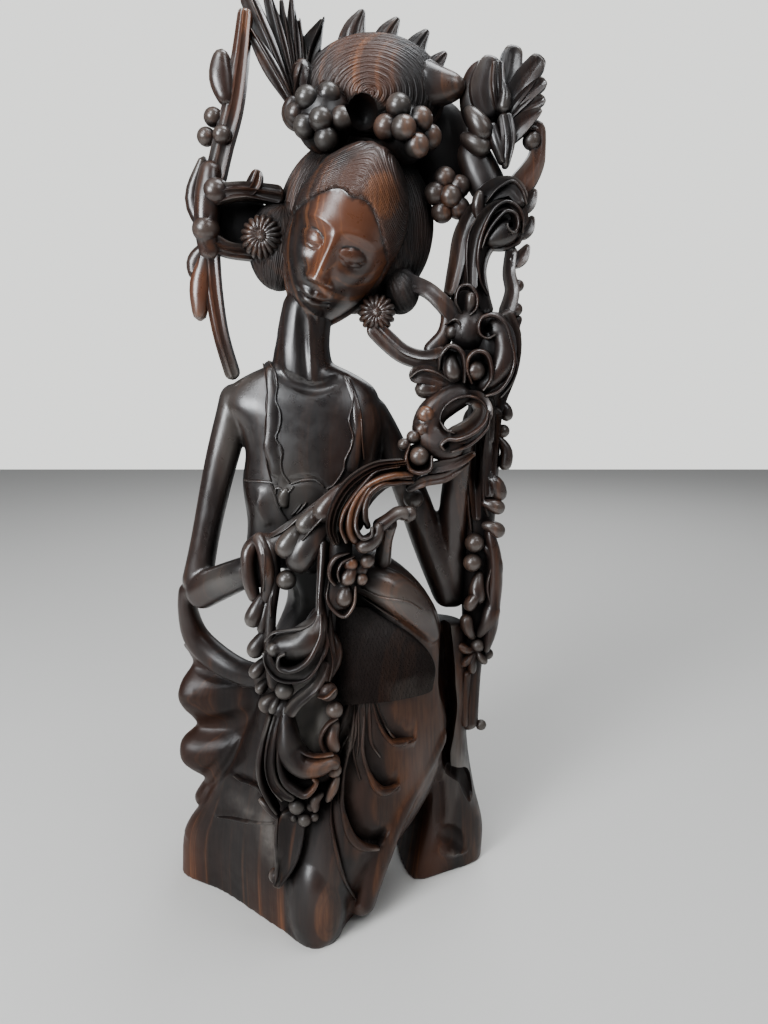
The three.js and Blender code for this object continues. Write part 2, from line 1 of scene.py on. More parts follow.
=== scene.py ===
# %% [markdown]
# # A kneeling goddess carved from one block of streaked ebony
# She kneels with her weight on a spread skirt, bends her head to her right, and holds a garland of
# scrolls that climbs from her lap to the height of her hair. The whole thing is one piece of wood.
# This lesson carves it the way a carver does: first the large forms are roughed out and blended into
# one skin, then folds are cut into that skin, and last the crisp ornament is joined to it. Then the
# joints are cleaned, the dusty and the rubbed places are found, shade and sheen are painted into the
# colour, and the wood gets its finishes.
# Lengths are in millimetres, as a carver measures them, until a mesh is made, which is in metres.

# %% The frame, and the box that the carving has to stay in
import json
import math

import bmesh
import bpy
import numpy as np
from mathutils import Euler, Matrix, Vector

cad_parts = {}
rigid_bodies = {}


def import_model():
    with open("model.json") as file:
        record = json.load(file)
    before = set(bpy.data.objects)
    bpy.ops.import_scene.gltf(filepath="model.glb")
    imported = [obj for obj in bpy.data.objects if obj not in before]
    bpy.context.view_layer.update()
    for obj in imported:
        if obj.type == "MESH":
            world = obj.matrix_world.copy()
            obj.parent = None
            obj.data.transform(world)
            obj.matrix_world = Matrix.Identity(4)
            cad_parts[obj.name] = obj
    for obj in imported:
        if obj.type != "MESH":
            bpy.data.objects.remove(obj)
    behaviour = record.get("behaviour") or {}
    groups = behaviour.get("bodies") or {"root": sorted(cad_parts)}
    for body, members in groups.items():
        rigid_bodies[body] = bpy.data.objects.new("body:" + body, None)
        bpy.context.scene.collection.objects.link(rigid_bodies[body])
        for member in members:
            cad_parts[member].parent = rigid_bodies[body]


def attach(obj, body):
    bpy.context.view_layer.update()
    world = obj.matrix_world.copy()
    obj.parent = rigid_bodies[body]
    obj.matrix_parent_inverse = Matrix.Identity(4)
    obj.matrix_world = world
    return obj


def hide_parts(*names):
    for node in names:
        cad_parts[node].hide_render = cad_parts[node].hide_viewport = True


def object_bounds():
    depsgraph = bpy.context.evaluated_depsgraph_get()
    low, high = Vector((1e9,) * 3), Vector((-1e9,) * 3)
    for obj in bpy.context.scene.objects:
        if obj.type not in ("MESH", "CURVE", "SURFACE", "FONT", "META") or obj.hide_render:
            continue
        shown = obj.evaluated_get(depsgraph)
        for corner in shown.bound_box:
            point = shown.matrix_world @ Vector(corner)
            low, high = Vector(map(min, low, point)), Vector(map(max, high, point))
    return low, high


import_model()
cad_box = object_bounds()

MM = 0.001
LOWEST = np.array(cad_box[0]) / MM
HIGHEST = np.array(cad_box[1]) / MM
TOWARDS_VIEWER = np.array([0.0, -1.0, 0.0])
print("the block measures", np.round(HIGHEST - LOWEST, 1), "mm")

# %% [markdown]
# ## The camera
# The photograph was taken from close by, a little above the figure's waist, looking slightly down.
# A plain pinhole camera with the same height, distance and tilt gives the same perspective, so that
# every scroll can be compared with the photograph. It is made first, because all the rest is judged
# through it.

# %% The camera
CAMERA_PLACE = (0.035, -0.430, 0.311)
CAMERA_PITCH = math.radians(80)
CAMERA_LENS = 26.37
FILM_HEIGHT = 36.0

camera_data = bpy.data.cameras.new("front_view")
camera_data.sensor_fit = "VERTICAL"
camera_data.sensor_height = FILM_HEIGHT
camera_data.lens = CAMERA_LENS
camera_data.clip_start = 0.01
camera = bpy.data.objects.new("front_view", camera_data)
camera.location = CAMERA_PLACE
camera.rotation_euler = Euler((CAMERA_PITCH, 0, 0))
bpy.context.scene.collection.objects.link(camera)
bpy.context.scene.camera = camera
print("the camera stands", -CAMERA_PLACE[1], "m in front")

# %% [markdown]
# ## Smooth curves
# A carved line has no corners except where the knife stops. It could be a Bezier curve drawn by hand,
# but a curve that passes through a few named points is easier to read and to change. The same small
# function serves the paths of scrolls, their changing widths and the outlines of the large forms.


# %% A smooth curve through a few values
def through(knots, values, at):
    """Cubic Hermite curve through values at knots. Its slope at a knot is the chord on the left plus
    the chord on the right minus the chord across both, and at an end it is the first or last chord."""
    values = np.asarray(values, float).reshape(len(knots), -1)
    chord = np.diff(values, axis=0) / np.diff(knots)[:, None]
    slope = np.empty_like(values)
    slope[0] = chord[0]
    slope[-1] = chord[-1]
    across_both = (values[2:] - values[:-2]) / (knots[2:] - knots[:-2])[:, None]
    slope[1:-1] = chord[:-1] + chord[1:] - across_both
    span = np.clip(np.searchsorted(knots, at, side="right") - 1, 0, len(knots) - 2)
    width = (knots[span + 1] - knots[span])[:, None]
    t = (at - knots[span])[:, None] / width
    start = (values[span] * (1 + 2 * t) + slope[span] * width * t) * (1 - t) ** 2
    end = (values[span + 1] * (3 - 2 * t) - slope[span + 1] * width * (1 - t)) * t**2
    return start + end


def spread(values, share):
    """One value, or a smooth run of values spaced evenly, read at each share of a length."""
    values = np.atleast_1d(np.asarray(values, float))
    if len(values) == 1:
        return np.full(len(share), values[0])
    return through(np.linspace(0, 1, len(values)), values, share)[:, 0]


def knots_of(points):
    """Knots that grow by the square root of each step, which keeps a curve from looping at a corner."""
    steps = np.sqrt(np.linalg.norm(np.diff(points, axis=0), axis=1))
    return np.concatenate([[0], np.cumsum(steps)])


def walk(points, share):
    """Places and directions at shares of the length of a smooth curve through the points."""
    points = np.array(points, float)
    knots = knots_of(points)
    fine = np.linspace(0, knots[-1], 40 * len(points))
    steps = np.linalg.norm(np.diff(through(knots, points, fine), axis=0), axis=1)
    run = np.concatenate([[0], np.cumsum(steps)])
    at = np.interp(share * run[-1], run, fine)
    little = knots[-1] / 400
    ahead = through(knots, points, np.minimum(at + little, knots[-1]))
    behind = through(knots, points, np.maximum(at - little, 0))
    along = ahead - behind
    return through(knots, points, at), along / np.linalg.norm(along, axis=1)[:, None], run[-1]


def bump(distance):
    """A soft bell: e to the power of minus the distance squared."""
    return np.exp(-(distance**2))


def rise(value, low, high):
    """A smooth step from 0 to 1 between low and high: 3t squared minus 2t cubed."""
    t = np.clip((value - low) / (high - low), 0, 1)
    return t * t * (3 - 2 * t)


# %% [markdown]
# ## The finishes
# The wood is ebony with brown and orange streaks, oiled and rubbed by hand until it shines. Three
# finishes share it: the polished wood, the wood combed into hair with a veiner, and the matt panel that
# the carver hatched with short cuts. The materials are filled in near the end, but the forms have to
# know their names now. Each form also has a value called warm, which says how strongly it is streaked.

# %% Three finishes on one wood
finishes = [bpy.data.materials.new(name) for name in ("oiled_ebony", "combed_ebony", "hatched_ebony")]
POLISHED, COMBED, HATCHED = range(3)
PLAIN = 0.16  # how warm the wood is where nothing else is said, from 0 to 1

# %% [markdown]
# ## Closed grids
# Every form here is a grid of rings, closed by a pole at each end. That one kind of surface is enough:
# a limb is rings along a path, a head is rings from chin to crown, and a skirt is level rings from the
# ground up. Spheres and cylinders could be added ready made, but they would have to be bent after.


# %% Faces over a grid of rings
def triangles_of(quads, fans):
    """Each quad as two triangles, and the fans as they are."""
    return np.vstack([quads[:, [0, 1, 2]], quads[:, [0, 2, 3]], fans])


def skin(rings, ends=None):
    """Places, quads and fans over rings[ring, side], with a pole at each end. The faces are turned
    round if the volume they enclose, a sixth of the sum of a . (b x c), comes out negative."""
    count, sides = rings.shape[:2]
    first, last = (rings[0].mean(axis=0), rings[-1].mean(axis=0)) if ends is None else ends
    places = np.vstack([rings.reshape(-1, 3), first, last])
    ring, side = np.meshgrid(np.arange(count - 1), np.arange(sides), indexing="ij")
    near = ring * sides + side
    beside = ring * sides + (side + 1) % sides
    quads = np.stack([near, beside, beside + sides, near + sides], axis=-1).reshape(-1, 4)
    here = np.arange(sides)
    after = (here + 1) % sides
    pole = count * sides
    first_fan = np.stack([np.full(sides, pole), after, here], axis=-1)
    last_fan = np.stack([np.full(sides, pole + 1), pole - sides + here, pole - sides + after], axis=-1)
    fans = np.vstack([first_fan, last_fan])
    a, b, c = np.moveaxis(places[triangles_of(quads, fans)], 1, 0)
    if np.sum(a * np.cross(b, c)) < 0:
        quads = quads[:, ::-1]
        fans = fans[:, ::-1]
    return places, quads, fans


ornaments = bpy.data.collections.new("ornaments")


def note(mesh, name, value):
    """Keeps one number for each point of a mesh, under a name that the finishes read."""
    mesh.attributes.new(name, "FLOAT", "POINT").data.foreach_set("value", value.astype(np.float32))


def ready_for_finishes(mesh, warm, strand):
    """Gives a mesh its streak and strand values and the three finishes it can take."""
    note(mesh, "warm", warm)
    note(mesh, "strand", strand)
    for material in finishes:
        mesh.materials.append(material)


def carve(rings, warm=PLAIN, strand=None, finish=POLISHED, ends=None):
    """One closed form as an object among the ornaments, with its streak and strand values by point."""
    places, quads, fans = skin(rings, ends)
    mesh = bpy.data.meshes.new("form")
    mesh.from_pydata((places * MM).tolist(), [], quads.tolist() + fans.tolist())
    across_hair = np.zeros(len(places))
    if strand is not None:
        across_hair[: strand.size] = strand.ravel()
    ready_for_finishes(mesh, np.full(len(places), warm), across_hair)
    mesh.polygons.foreach_set("material_index", np.full(len(mesh.polygons), finish, np.int32))
    ornaments.objects.link(bpy.data.objects.new("form", mesh))


# %% [markdown]
# ## Strips, leaves, beads and lofted masses
# A scroll of this garland is a strip with hollow flutes and sharp crests between them, as a gouge
# leaves them. It could be a bevelled curve, but a bevel can't fade its flutes out towards the tips, so
# the section is worked out ring by ring. Leaves are short strips, and beads are small balls.

# %% The section of a strip, and strips, leaves and beads
RIM = 0.86  # how far across a strip its outer crests stand
PER_FLUTE = 6
PLAIN_SIDES = 11
BACK_SIDES = 7
FLAT_POWER = 3.4  # of the superellipse that a fluted strip fills
ROUND_POWER = 2.2  # of a plain one's


def section(flutes):
    """Places across a strip from one edge over the front and round the back, and each one's share of a
    flute's depth: the sine of its place between two crests."""
    if flutes:
        front = np.concatenate([[1.0], np.linspace(RIM, -RIM, flutes * PER_FLUTE + 1), [-1.0]])
    else:
        front = np.cos(np.linspace(0, np.pi, PLAIN_SIDES))
    back = np.cos(np.linspace(np.pi, 2 * np.pi, BACK_SIDES))[1:-1]
    across = np.concatenate([front, back])
    side = np.concatenate([np.ones(len(front)), -np.ones(len(back))])
    place = np.clip((across / RIM + 1) / 2, 0, 1)
    hollow = np.abs(np.sin(np.pi * place * flutes)) if flutes else np.zeros(len(across))
    return across, side, hollow * (side > 0)


def strip_rings(points, wide, thick, flutes=0, depth=0.42, steps=None):
    """Rings along a smooth path. Across each ring the height is a superellipse, (1 - |c|^p)^(1/p),
    times 1 minus the flute's depth, and both ends are rounded as quarter circles."""
    steps = steps or 6 + 6 * len(points)
    turn = (1 - np.cos(np.pi * (np.arange(steps + 1) + 0.35) / (steps + 0.7))) / 2
    share = 0.4 * np.linspace(0.004, 0.996, steps + 1) + 0.6 * turn
    centre, along, length = walk(points, share)
    across = np.cross(along, TOWARDS_VIEWER)
    across /= np.linalg.norm(across, axis=1)[:, None]
    out = np.cross(across, along)
    half = spread(wide, share)
    from_end = np.clip(np.minimum(share, 1 - share) * length / half, 0, 1)
    rounding = np.sqrt(1 - (1 - from_end) ** 2)
    over, side, hollow = section(flutes)
    power = FLAT_POWER if flutes else ROUND_POWER
    height = (1 - np.abs(over) ** power) ** (1 / power) * side
    cut = 1 - depth * hollow[None, :] * rise(from_end, 0.1, 0.9)[:, None]
    wide_by = (half * rounding)[:, None, None] * over[None, :, None] * across[:, None, :]
    thick_by = spread(thick, share) * rounding
    raised = (thick_by[:, None] * height[None, :] * cut)[:, :, None] * out[:, None, :]
    ends, _, _ = walk(points, np.array([0.0, 1.0]))
    return centre[:, None, :] + wide_by + raised, ends


def strip(points, wide, thick, flutes=0, warm=PLAIN, **more):
    """A limb, stem or scroll of the ornament."""
    rings, ends = strip_rings(points, wide, thick, flutes, **more)
    carve(rings, warm, ends=ends)


def leaf(root, middle, tip, wide, thick, warm=PLAIN, flutes=0):
    """A pointed leaf: a short strip, widest half way along."""
    strip([root, middle, tip], [wide * 0.55, wide * 1.02, wide * 0.6], thick, flutes, warm, steps=12)


def petal(root, middle, tip, wide, thick, warm=PLAIN):
    """A petal like a drop: it widens from a thin root to a full round tip."""
    full = [wide * 0.4, wide * 0.8, wide * 1.05, wide * 0.95]
    strip([root, middle, tip], full, [thick * 0.5, thick * 0.9, thick], warm=warm, steps=12)


def lip(points, wide=1.3, thick=3.0):
    """The crisp crest that a gouge leaves between two hollows: a thin strip, thinnest at its ends."""
    strip(points, [wide * 0.5, wide, wide, wide * 0.7], thick, steps=7 * len(points))


def dish(points, wide, thick=5, depth=0.6, **more):
    """A leaf hollowed by one broad gouge, so that a thin rim stands round it."""
    strip(points, wide, thick, 1, depth=depth, **more)


def ball_grid(around, up):
    """Unit places on a ball from its lower to its upper pole: longitude around it, latitude up it."""
    latitude = np.linspace(-np.pi / 2, np.pi / 2, up + 2)[1:-1, None]
    longitude = np.linspace(-np.pi, np.pi, around, endpoint=False)[None, :]
    level = np.cos(latitude)
    grid = np.stack([level * np.sin(longitude), -level * np.cos(longitude)], axis=-1)
    return np.dstack([grid, np.broadcast_to(np.sin(latitude), (up, around))]), longitude, latitude


def bead(place, radius=4.8, warm=0.165):
    """A berry: a ball, a little flatter towards the viewer than across."""
    grid, _, _ = ball_grid(18, 10)
    carve(np.array(place) + grid * radius * np.array([1.02, 0.98, 1.0]), warm)


def loop(points, sides):
    """A closed smooth curve through points in a level plane, with as many steps in each span."""
    count = len(points)
    wrapped = np.array(points, float)[np.arange(-3, count + 4) % count]
    knots = knots_of(wrapped)
    at = np.interp(np.arange(sides) / sides * count + 3, np.arange(len(wrapped)), knots)
    return through(knots, wrapped, at)


def mass(levels, sides=96, rows=48):
    """A lofted form: a closed loop at each level's height, and a smooth curve up through the loops."""
    heights = np.array([height for height, _ in levels], float)
    loops = np.array([loop(points, sides).ravel() for _, points in levels])
    z = np.linspace(heights[0], heights[-1], rows)
    level = through(heights, loops, z).reshape(rows, sides, 2)
    return np.dstack([level, np.broadcast_to(z[:, None], (rows, sides))])


def oval(left, right, front, back):
    """A level cut from its four limits: a circle, a little squared, stretched to them."""
    angle = np.arange(12) * np.pi / 6
    wave = np.stack([np.cos(angle), np.sin(angle)])
    across, deep = np.sign(wave) * np.abs(wave) ** 0.85
    x = (left + right) / 2 - (right - left) / 2 * across
    y = (front + back) / 2 - (back - front) / 2 * deep
    return np.stack([x, y], axis=-1)


def lump(centre, half_sizes, around=40, up=24):
    """An egg-shaped form."""
    grid, _, _ = ball_grid(around, up)
    return np.array(centre) + grid * np.array(half_sizes)


# %% [markdown]
# ## The large forms
# Under the ornament there is a body: the skirt spread over her knees, the train on its own foot, the
# sash that billows from her elbow, the torso, neck and arms. In wood they run into each other without
# a seam. Joined solids would leave hard creases in the armpits and at the waist, so these forms are
# remeshed into one skin instead, and the skin is relaxed a little.

# %% The skirt, the train and the sash
SKIRT_LEVELS = [
    [0, [[-95, 6], [-62, -17], [-28, -45], [-2, -63], [14, -42], [26, -8], [28, 36], [-14, 50], [-72, 44]]],
    [33, [[-90, 6], [-60, -18], [-28, -45], [0, -62], [24, -44], [42, -14], [40, 32], [-12, 50], [-68, 44]]],
    [50, [[-78, 5], [-56, -18], [-28, -43], [5, -60], [33, -41], [54, -14], [54, 28], [-10, 48], [-62, 44]]],
    [75, [[-63, 2], [-49, -18], [-26, -40], [10, -55], [40, -38], [66, -12], [60, 28], [-8, 47], [-56, 42]]],
    [100, [[-49, 0], [-42, -16], [-22, -36], [12, -48], [45, -33], [71, -8], [64, 26], [-6, 45], [-48, 40]]],
    [128, [[-38, 0], [-34, -14], [-14, -31], [14, -43], [46, -31], [71, -6], [66, 24], [-4, 42], [-40, 36]]],
    [155, [[-31, 2], [-25, -12], [-8, -27], [16, -37], [46, -30], [70, -6], [63, 22], [-2, 38], [-32, 30]]],
    [180, [[-16, 4], [-12, -10], [0, -22], [18, -33], [44, -27], [64, -6], [56, 19], [0, 33], [-25, 27]]],
    [202, [[-24, 4], [-18, -10], [-6, -18], [10, -25], [30, -21], [47, -5], [38, 16], [-5, 27], [-28, 22]]],
    [222, [[-43, 3], [-35, -11], [-21, -15], [-8, -16], [6, -14], [16, 0], [10, 14], [-14, 21], [-34, 17]]],
]
skirt = mass(SKIRT_LEVELS)
TRAIN_LEVELS = [
    [0, [[46, 16], [55, -4], [74, 3], [98, 18], [96, 44], [68, 54], [46, 46]]],
    [26, [[53, 12], [61, -4], [78, 2], [98, 16], [95, 42], [68, 52], [50, 42]]],
    [46, [[56, 10], [65, -3], [80, 2], [92, 13], [92, 40], [68, 50], [48, 40]]],
    [90, [[58, 4], [70, -4], [80, 0], [86, 10], [86, 34], [64, 44], [40, 36]]],
    [125, [[60, 4], [70, -4], [80, 0], [88, 11], [84, 30], [60, 38], [38, 30]]],
    [165, [[58, 6], [66, 0], [76, 3], [84, 11], [78, 24], [60, 30], [46, 22]]],
]
train = mass(TRAIN_LEVELS)
SASH_EDGE = [
    [40, -74, 12], [48, -85, 11], [55, -82, 12], [61, -78.5, 13], [67, -84, 11], [74, -90, 8], [82, -92, 7],
    [90, -90, 10], [95.5, -83, 14], [102, -84, 13], [110, -88.5, 9], [119, -91, 6], [128, -89, 9],
    [138, -83, 13], [145, -84, 11], [152, -87, 8],
]


def sash_cut(z, x, y):
    """One level cut of the sash: its wavy edge at x, y, and its inner end where it meets the skirt."""
    inner = -64 + max(0, z - 50) * 0.36 if z < 126 else -37 - (z - 126) * 1.5
    deep = 22 - 0.34 * max(0, z - 105)
    edge = [[x, y - 3], [(x + inner) / 2, y - 8], [inner + 6, 2]]
    return [z, edge + [[inner + 8, 2 + deep], [x + 0.7 * deep, y + 0.7 * deep], [x, y + 5]]]


sash = mass([sash_cut(*place) for place in SASH_EDGE], rows=90)

# %% The torso, the limbs and the cloth over them
TORSO_LEVELS = [
    [205, oval(-48, 14, -16, 24)],
    [228, oval(-45, 15, -16, 23)],
    [253, oval(-47, 29, -18, 24)],
    [272, oval(-45, 33, -18, 23)],
    [285, oval(-49, 35, -17, 22)],
    [298, oval(-56, 33, -15, 21)],
    [308, oval(-52, 28, -12, 19)],
    [315, oval(-40, 17, -11, 17)],
    [320, oval(-28, 6, -9, 15)],
]
torso = mass(TORSO_LEVELS)
large_forms = [skirt, train, sash, torso]
for points, wide, thick in [
    # her right thigh under the skirt
    ([[-6, -14, 146], [-8, -16, 128], [-10, -14, 104]], [10, 14, 12], [14, 17, 14]),
    # neck
    (
        [[-11, 4, 296], [-11, 3, 312], [-11, 2, 326], [-9, 1, 342], [-4, 0, 362]],
        [24, 19, 15.5, 14.5, 14.5],
        [16, 16, 14, 13.5, 13.5],
    ),
    # right arm, down to the elbow and forward to the hand
    (
        [[-48, 4, 309], [-52, 3, 290], [-61, 2, 257], [-69, 1, 223], [-77, 0, 186]],
        [9, 9.7, 8.7, 8.2, 9.5],
        9.5,
    ),
    ([[-78, 1, 184], [-63, -10, 194], [-46, -24, 204], [-32, -32, 211]], [10, 10.4, 9.5, 8], [11, 10, 9, 8]),
    # left arm, down to the elbow and up again behind the garland
    ([[24, 5, 300], [34, 8, 283], [48, 13, 252], [63, 18, 212], [78, 22, 172]], [8.6, 9, 10, 10.4, 9.4], 10),
    ([[78, 23, 171], [77, 20, 202], [77, 15, 234], [79, 10, 262], [81, 4, 286]], [8.6, 9.2, 9, 8.2, 7], 9.5),
    # the end of the sash that lies over her right hip
    (
        [[-83, 4, 192], [-83, 4, 176], [-79, 5, 158], [-67, 2, 146], [-50, -6, 139], [-30, -18, 141]],
        [4, 6, 8, 8.5, 8, 6],
        8,
    ),
    # the thick fold over her left shin
    (
        [
            [70, -3, 103], [66, -7, 96], [55, -15, 81], [44, -24, 65], [35, -30, 49], [25, -36, 24],
            [19, -40, 5],
        ],
        [5, 6.5, 7, 8, 9, 9, 9],
        [8, 10, 11, 12, 12, 12, 11],
    ),
    # the smooth cloth over her hip
    ([[14, -26, 207], [36, -28, 198], [52, -22, 183], [64, -11, 162]], [7, 11, 10, 5], [9, 11, 10, 7]),
]:
    rings, _ = strip_rings(points, wide, thick)
    large_forms.append(rings)
knee = lump([-3, -45, 21], [18, 21.5, 35], 40, 26)
large_forms.append(knee)
print(len(large_forms), "large forms")

# %% [markdown]
# ## One skin over the large forms
# A voxel remesh is the modelling answer to a rasp: it forgets which form a surface came from, so the
# shoulder flows into the arm. The voxel is about as fine as the narrowest fold line on the skirt.


# %% Roughing out
def applied(thing, name):
    """The object's mesh as its modifiers leave it, on a fresh object."""
    graph = bpy.context.evaluated_depsgraph_get()
    mesh = bpy.data.meshes.new_from_object(thing.evaluated_get(graph), depsgraph=graph)
    bpy.data.objects.remove(thing)
    result = bpy.data.objects.new(name, mesh)
    bpy.context.scene.collection.objects.link(result)
    return result


def roughed_out(forms, voxel, relaxing):
    """All the forms in one mesh, remeshed into one skin and relaxed."""
    places, faces, start = [], [], 0
    for rings in forms:
        some, quads, fans = skin(rings)
        places.append(some)
        faces += (quads + start).tolist() + (fans + start).tolist()
        start += len(some)
    mesh = bpy.data.meshes.new("rough")
    mesh.from_pydata((np.vstack(places) * MM).tolist(), [], faces)
    rough = bpy.data.objects.new("rough", mesh)
    bpy.context.scene.collection.objects.link(rough)
    one_skin = rough.modifiers.new("one skin", "REMESH")
    one_skin.mode = "VOXEL"
    one_skin.voxel_size = voxel * MM
    relaxed = rough.modifiers.new("relaxed", "SMOOTH")
    relaxed.factor = 0.5
    relaxed.iterations = relaxing
    return applied(rough, "core")


core = roughed_out(large_forms, voxel=1.15, relaxing=7)
print(len(core.data.polygons), "faces in the roughed-out skin")

# %% [markdown]
# ## Cutting folds into the skin
# A fold of this skirt is one stroke of a gouge: it starts as a fine line at the waist, widens and stops
# at a crisp lip. Each stroke is given as points seen from the front, x and z, and every point of the
# skin near it is pushed in or out. A sculpt brush would do the same, but could not be written down.


# %% Gouge strokes
def read_points(mesh, field):
    """One vector for each point of the mesh, in an array."""
    values = np.empty(len(mesh.vertices) * 3, np.float32)
    mesh.vertices.foreach_get(field, values)
    return values.reshape(-1, 3).astype(float)


skin_places = read_points(core.data, "co") / MM
skin_normals = read_points(core.data, "normal")
FACING_FRONT = -0.05  # the most that a normal's y may be where a stroke cuts
GOUGE_LEAN = 0.6  # how far the cut leans from the skin's own normal to the viewer


def stroke(points, wide, deep, shape="scoop"):
    """Moves the front of the skin near a line given by x, z points. Across the line, s runs from -1
    to 1 over the stroke's half width: a scoop is 1 - s squared, a ridge is (1 - |s|) to the power 1.5,
    and a lip is (1 - s) squared on the viewer's right of a line that runs down. Deep is positive inwards."""
    line = np.array([[x, 0.0, z] for x, z in points])
    share = np.linspace(0, 1, 120)
    centre, along, _ = walk(line, share)
    reach = np.max(wide) + 2
    low, high = centre.min(axis=0) - reach, centre.max(axis=0) + reach
    x, _, z = skin_places.T
    near = (x > low[0]) & (x < high[0]) & (z > low[2]) & (z < high[2])
    chosen = np.flatnonzero(near & (skin_normals[:, 1] < FACING_FRONT))
    gap = skin_places[chosen][:, None, [0, 2]] - centre[None, :, [0, 2]]
    nearest = np.argmin((gap**2).sum(axis=-1), axis=1)
    gap = gap[np.arange(len(chosen)), nearest]
    ahead = along[nearest][:, [0, 2]]
    s = (gap[:, 1] * ahead[:, 0] - gap[:, 0] * ahead[:, 1]) / spread(wide, share)[nearest]
    past_end = np.abs(gap[:, 0] * ahead[:, 0] + gap[:, 1] * ahead[:, 1])
    amount = {
        "scoop": np.clip(1 - s**2, 0, 1),
        "ridge": np.clip(1 - np.abs(s), 0, 1) ** 1.5,
        "lip": np.where(s > 0, np.clip(1 - s, 0, 1) ** 2, 0),
    }[shape]
    amount = amount * spread(deep, share)[nearest] * (1 - rise(past_end, 0.3, 1.5))
    way = skin_normals[chosen] * (1 - GOUGE_LEAN) + GOUGE_LEAN * TOWARDS_VIEWER
    skin_places[chosen] -= way * amount[:, None]


# %% The strokes on the skirt, the sash, the train, the neck and the belly
LONG_FOLD = [
    [19, 138], [18, 124], [16, 112], [13, 101], [12, 91], [12, 82], [14, 73], [17, 64], [23, 56], [32, 50],
]
MIDDLE_FOLD = [[24, 138], [24, 124], [23, 112], [24, 104], [27, 95], [31, 87], [36, 83], [43, 83]]
SHORT_FOLD = [[28, 138], [32, 123], [38, 112], [44, 108], [52, 107]]
for fold, wide, deep in [(SHORT_FOLD, 20, 5), (MIDDLE_FOLD, 15, 5.5), (LONG_FOLD, 19, 8)]:
    widths = [wide * 0.2, wide * 0.5, wide * 0.8, wide, wide * 0.8]
    stroke(fold, widths, [0.4, deep * 0.4, deep * 0.7, deep, deep * 0.8], "lip")
    stroke(fold, [2, 3, 4, 5, 5], [-0.2, -0.5, -0.9, -1.4, -2.0], "ridge")
stroke([[16, 138], [12, 127], [8, 116], [6, 106]], 3.4, [0.6, 1.6, 1.2, 0.4])
stroke([[19.5, 138], [16.5, 126], [12, 113], [9.5, 100], [9, 86]], 3.2, [0.6, 1.8, 1.6, 0.5])
stroke([[17.5, 138], [14, 126.5], [10, 115], [8, 103]], 3, [-0.6, -2.0, -1.6, -0.4], "ridge")
stroke(
    [[21.5, 138], [19, 125], [14.5, 111], [11.5, 98], [10, 82]],
    3.2, [-0.6, -2.0, -2.2, -1.6, -0.4], "ridge",
)
# creases that fan out over the sash, and its long crest
for crease, wide in [
    ([[-80, 120], [-64, 119], [-45, 123]], 7),
    ([[-84, 95], [-66, 101], [-42, 113]], 8),
    ([[-82, 64], [-66, 76], [-51, 93]], 6),
    ([[-84, 140], [-70, 134], [-50, 131]], 5),
]:
    stroke(crease, wide, [0.4, 2.0, 1.0])
stroke([[-36, 121], [-48, 103], [-66, 76], [-81, 51], [-91, 28]], 5, [-0.5, -1.4, -1.4, -1.0], "ridge")
# the edge of the cloth over the knee, and the cuts in the train
stroke([[7, 96], [6, 75], [9, 57], [13, 39], [19, 17]], [2, 5, 9, 8], [0.4, 2.0, 3.2, 2.0], "lip")
stroke([[70, 36], [75, 28], [80, 20], [84, 14]], [4, 8, 8, 3], [1, 5, 5, 1])
stroke([[69, 27], [73, 20], [79, 14], [88, 12]], [3, 5, 5, 3], [-1, -3, -3, -1], "ridge")
stroke([[69, 66], [69, 44], [67, 20]], [3, 4, 3], [1.5, 2.5, 1])
stroke([[94, 100], [96, 70], [98, 44]], 3, [-0.4, -1, -0.4], "ridge")
# a lip and a crest low on the skirt, at her right
stroke([[-57, 76], [-47, 77], [-38, 78], [-31, 70]], [5, 8, 8, 5], [0.8, 1.6, 1.6, 1.0], "lip")
stroke([[-28, 64], [-46, 57], [-68, 48]], [3, 4, 3], [-0.6, -1.3, -0.5], "ridge")
# collarbones and the sinews of her neck
stroke(
    [[-26, 318], [-20, 313], [-13, 309], [-5, 306], [2, 307], [8, 310], [14, 313]],
    4, [0.6, 1.6, 2.2, 1.6, 0.6],
)
stroke([[-9, 352], [-9, 332], [-8, 311]], 3.4, [0.3, 1.8, 1.2])
stroke([[-22, 352], [-24, 334], [-22, 318]], 3, [0.2, 0.8, 0.6])
# belly and waist
stroke([[-34, 250], [-36, 240], [-31, 231]], 9, [-0.6, -2.4, -0.8], "ridge")
stroke([[-20, 255], [-8, 257], [3, 252]], 3, [0.4, 1.2, 0.4])
print("folds cut")

core.data.vertices.foreach_set("co", (skin_places * MM).astype(np.float32).ravel())
core.data.update()

# %% [markdown]
# ## The head
# Her head bows and leans to her right, on a long neck. The face is a plain ideal one, calm, with lowered
# lids, laid out on the old drawing-book rule: the eyes half way down the head, the nose a third of the
# way from brow to chin below them, and one eye's width between the eyes. It is the front of a ball
# whose points are pushed out or in by small bells, because carved features have soft borders.

# %% The face
HEAD_CENTRE = np.array([12, -2, 385.0])
HEAD_HALF = np.array([28.5, 34, 50.0])
HEAD_LEAN = math.radians(25)
HEAD_BOW = math.radians(14)
HEAD_TURN = np.array(Euler((0, HEAD_LEAN, 0)).to_matrix()) @ np.array(Euler((HEAD_BOW, 0, 0)).to_matrix())
EYE_APART = 11.6
EYE_HEIGHT = -1.5
MOUTH_HEIGHT = -29.5


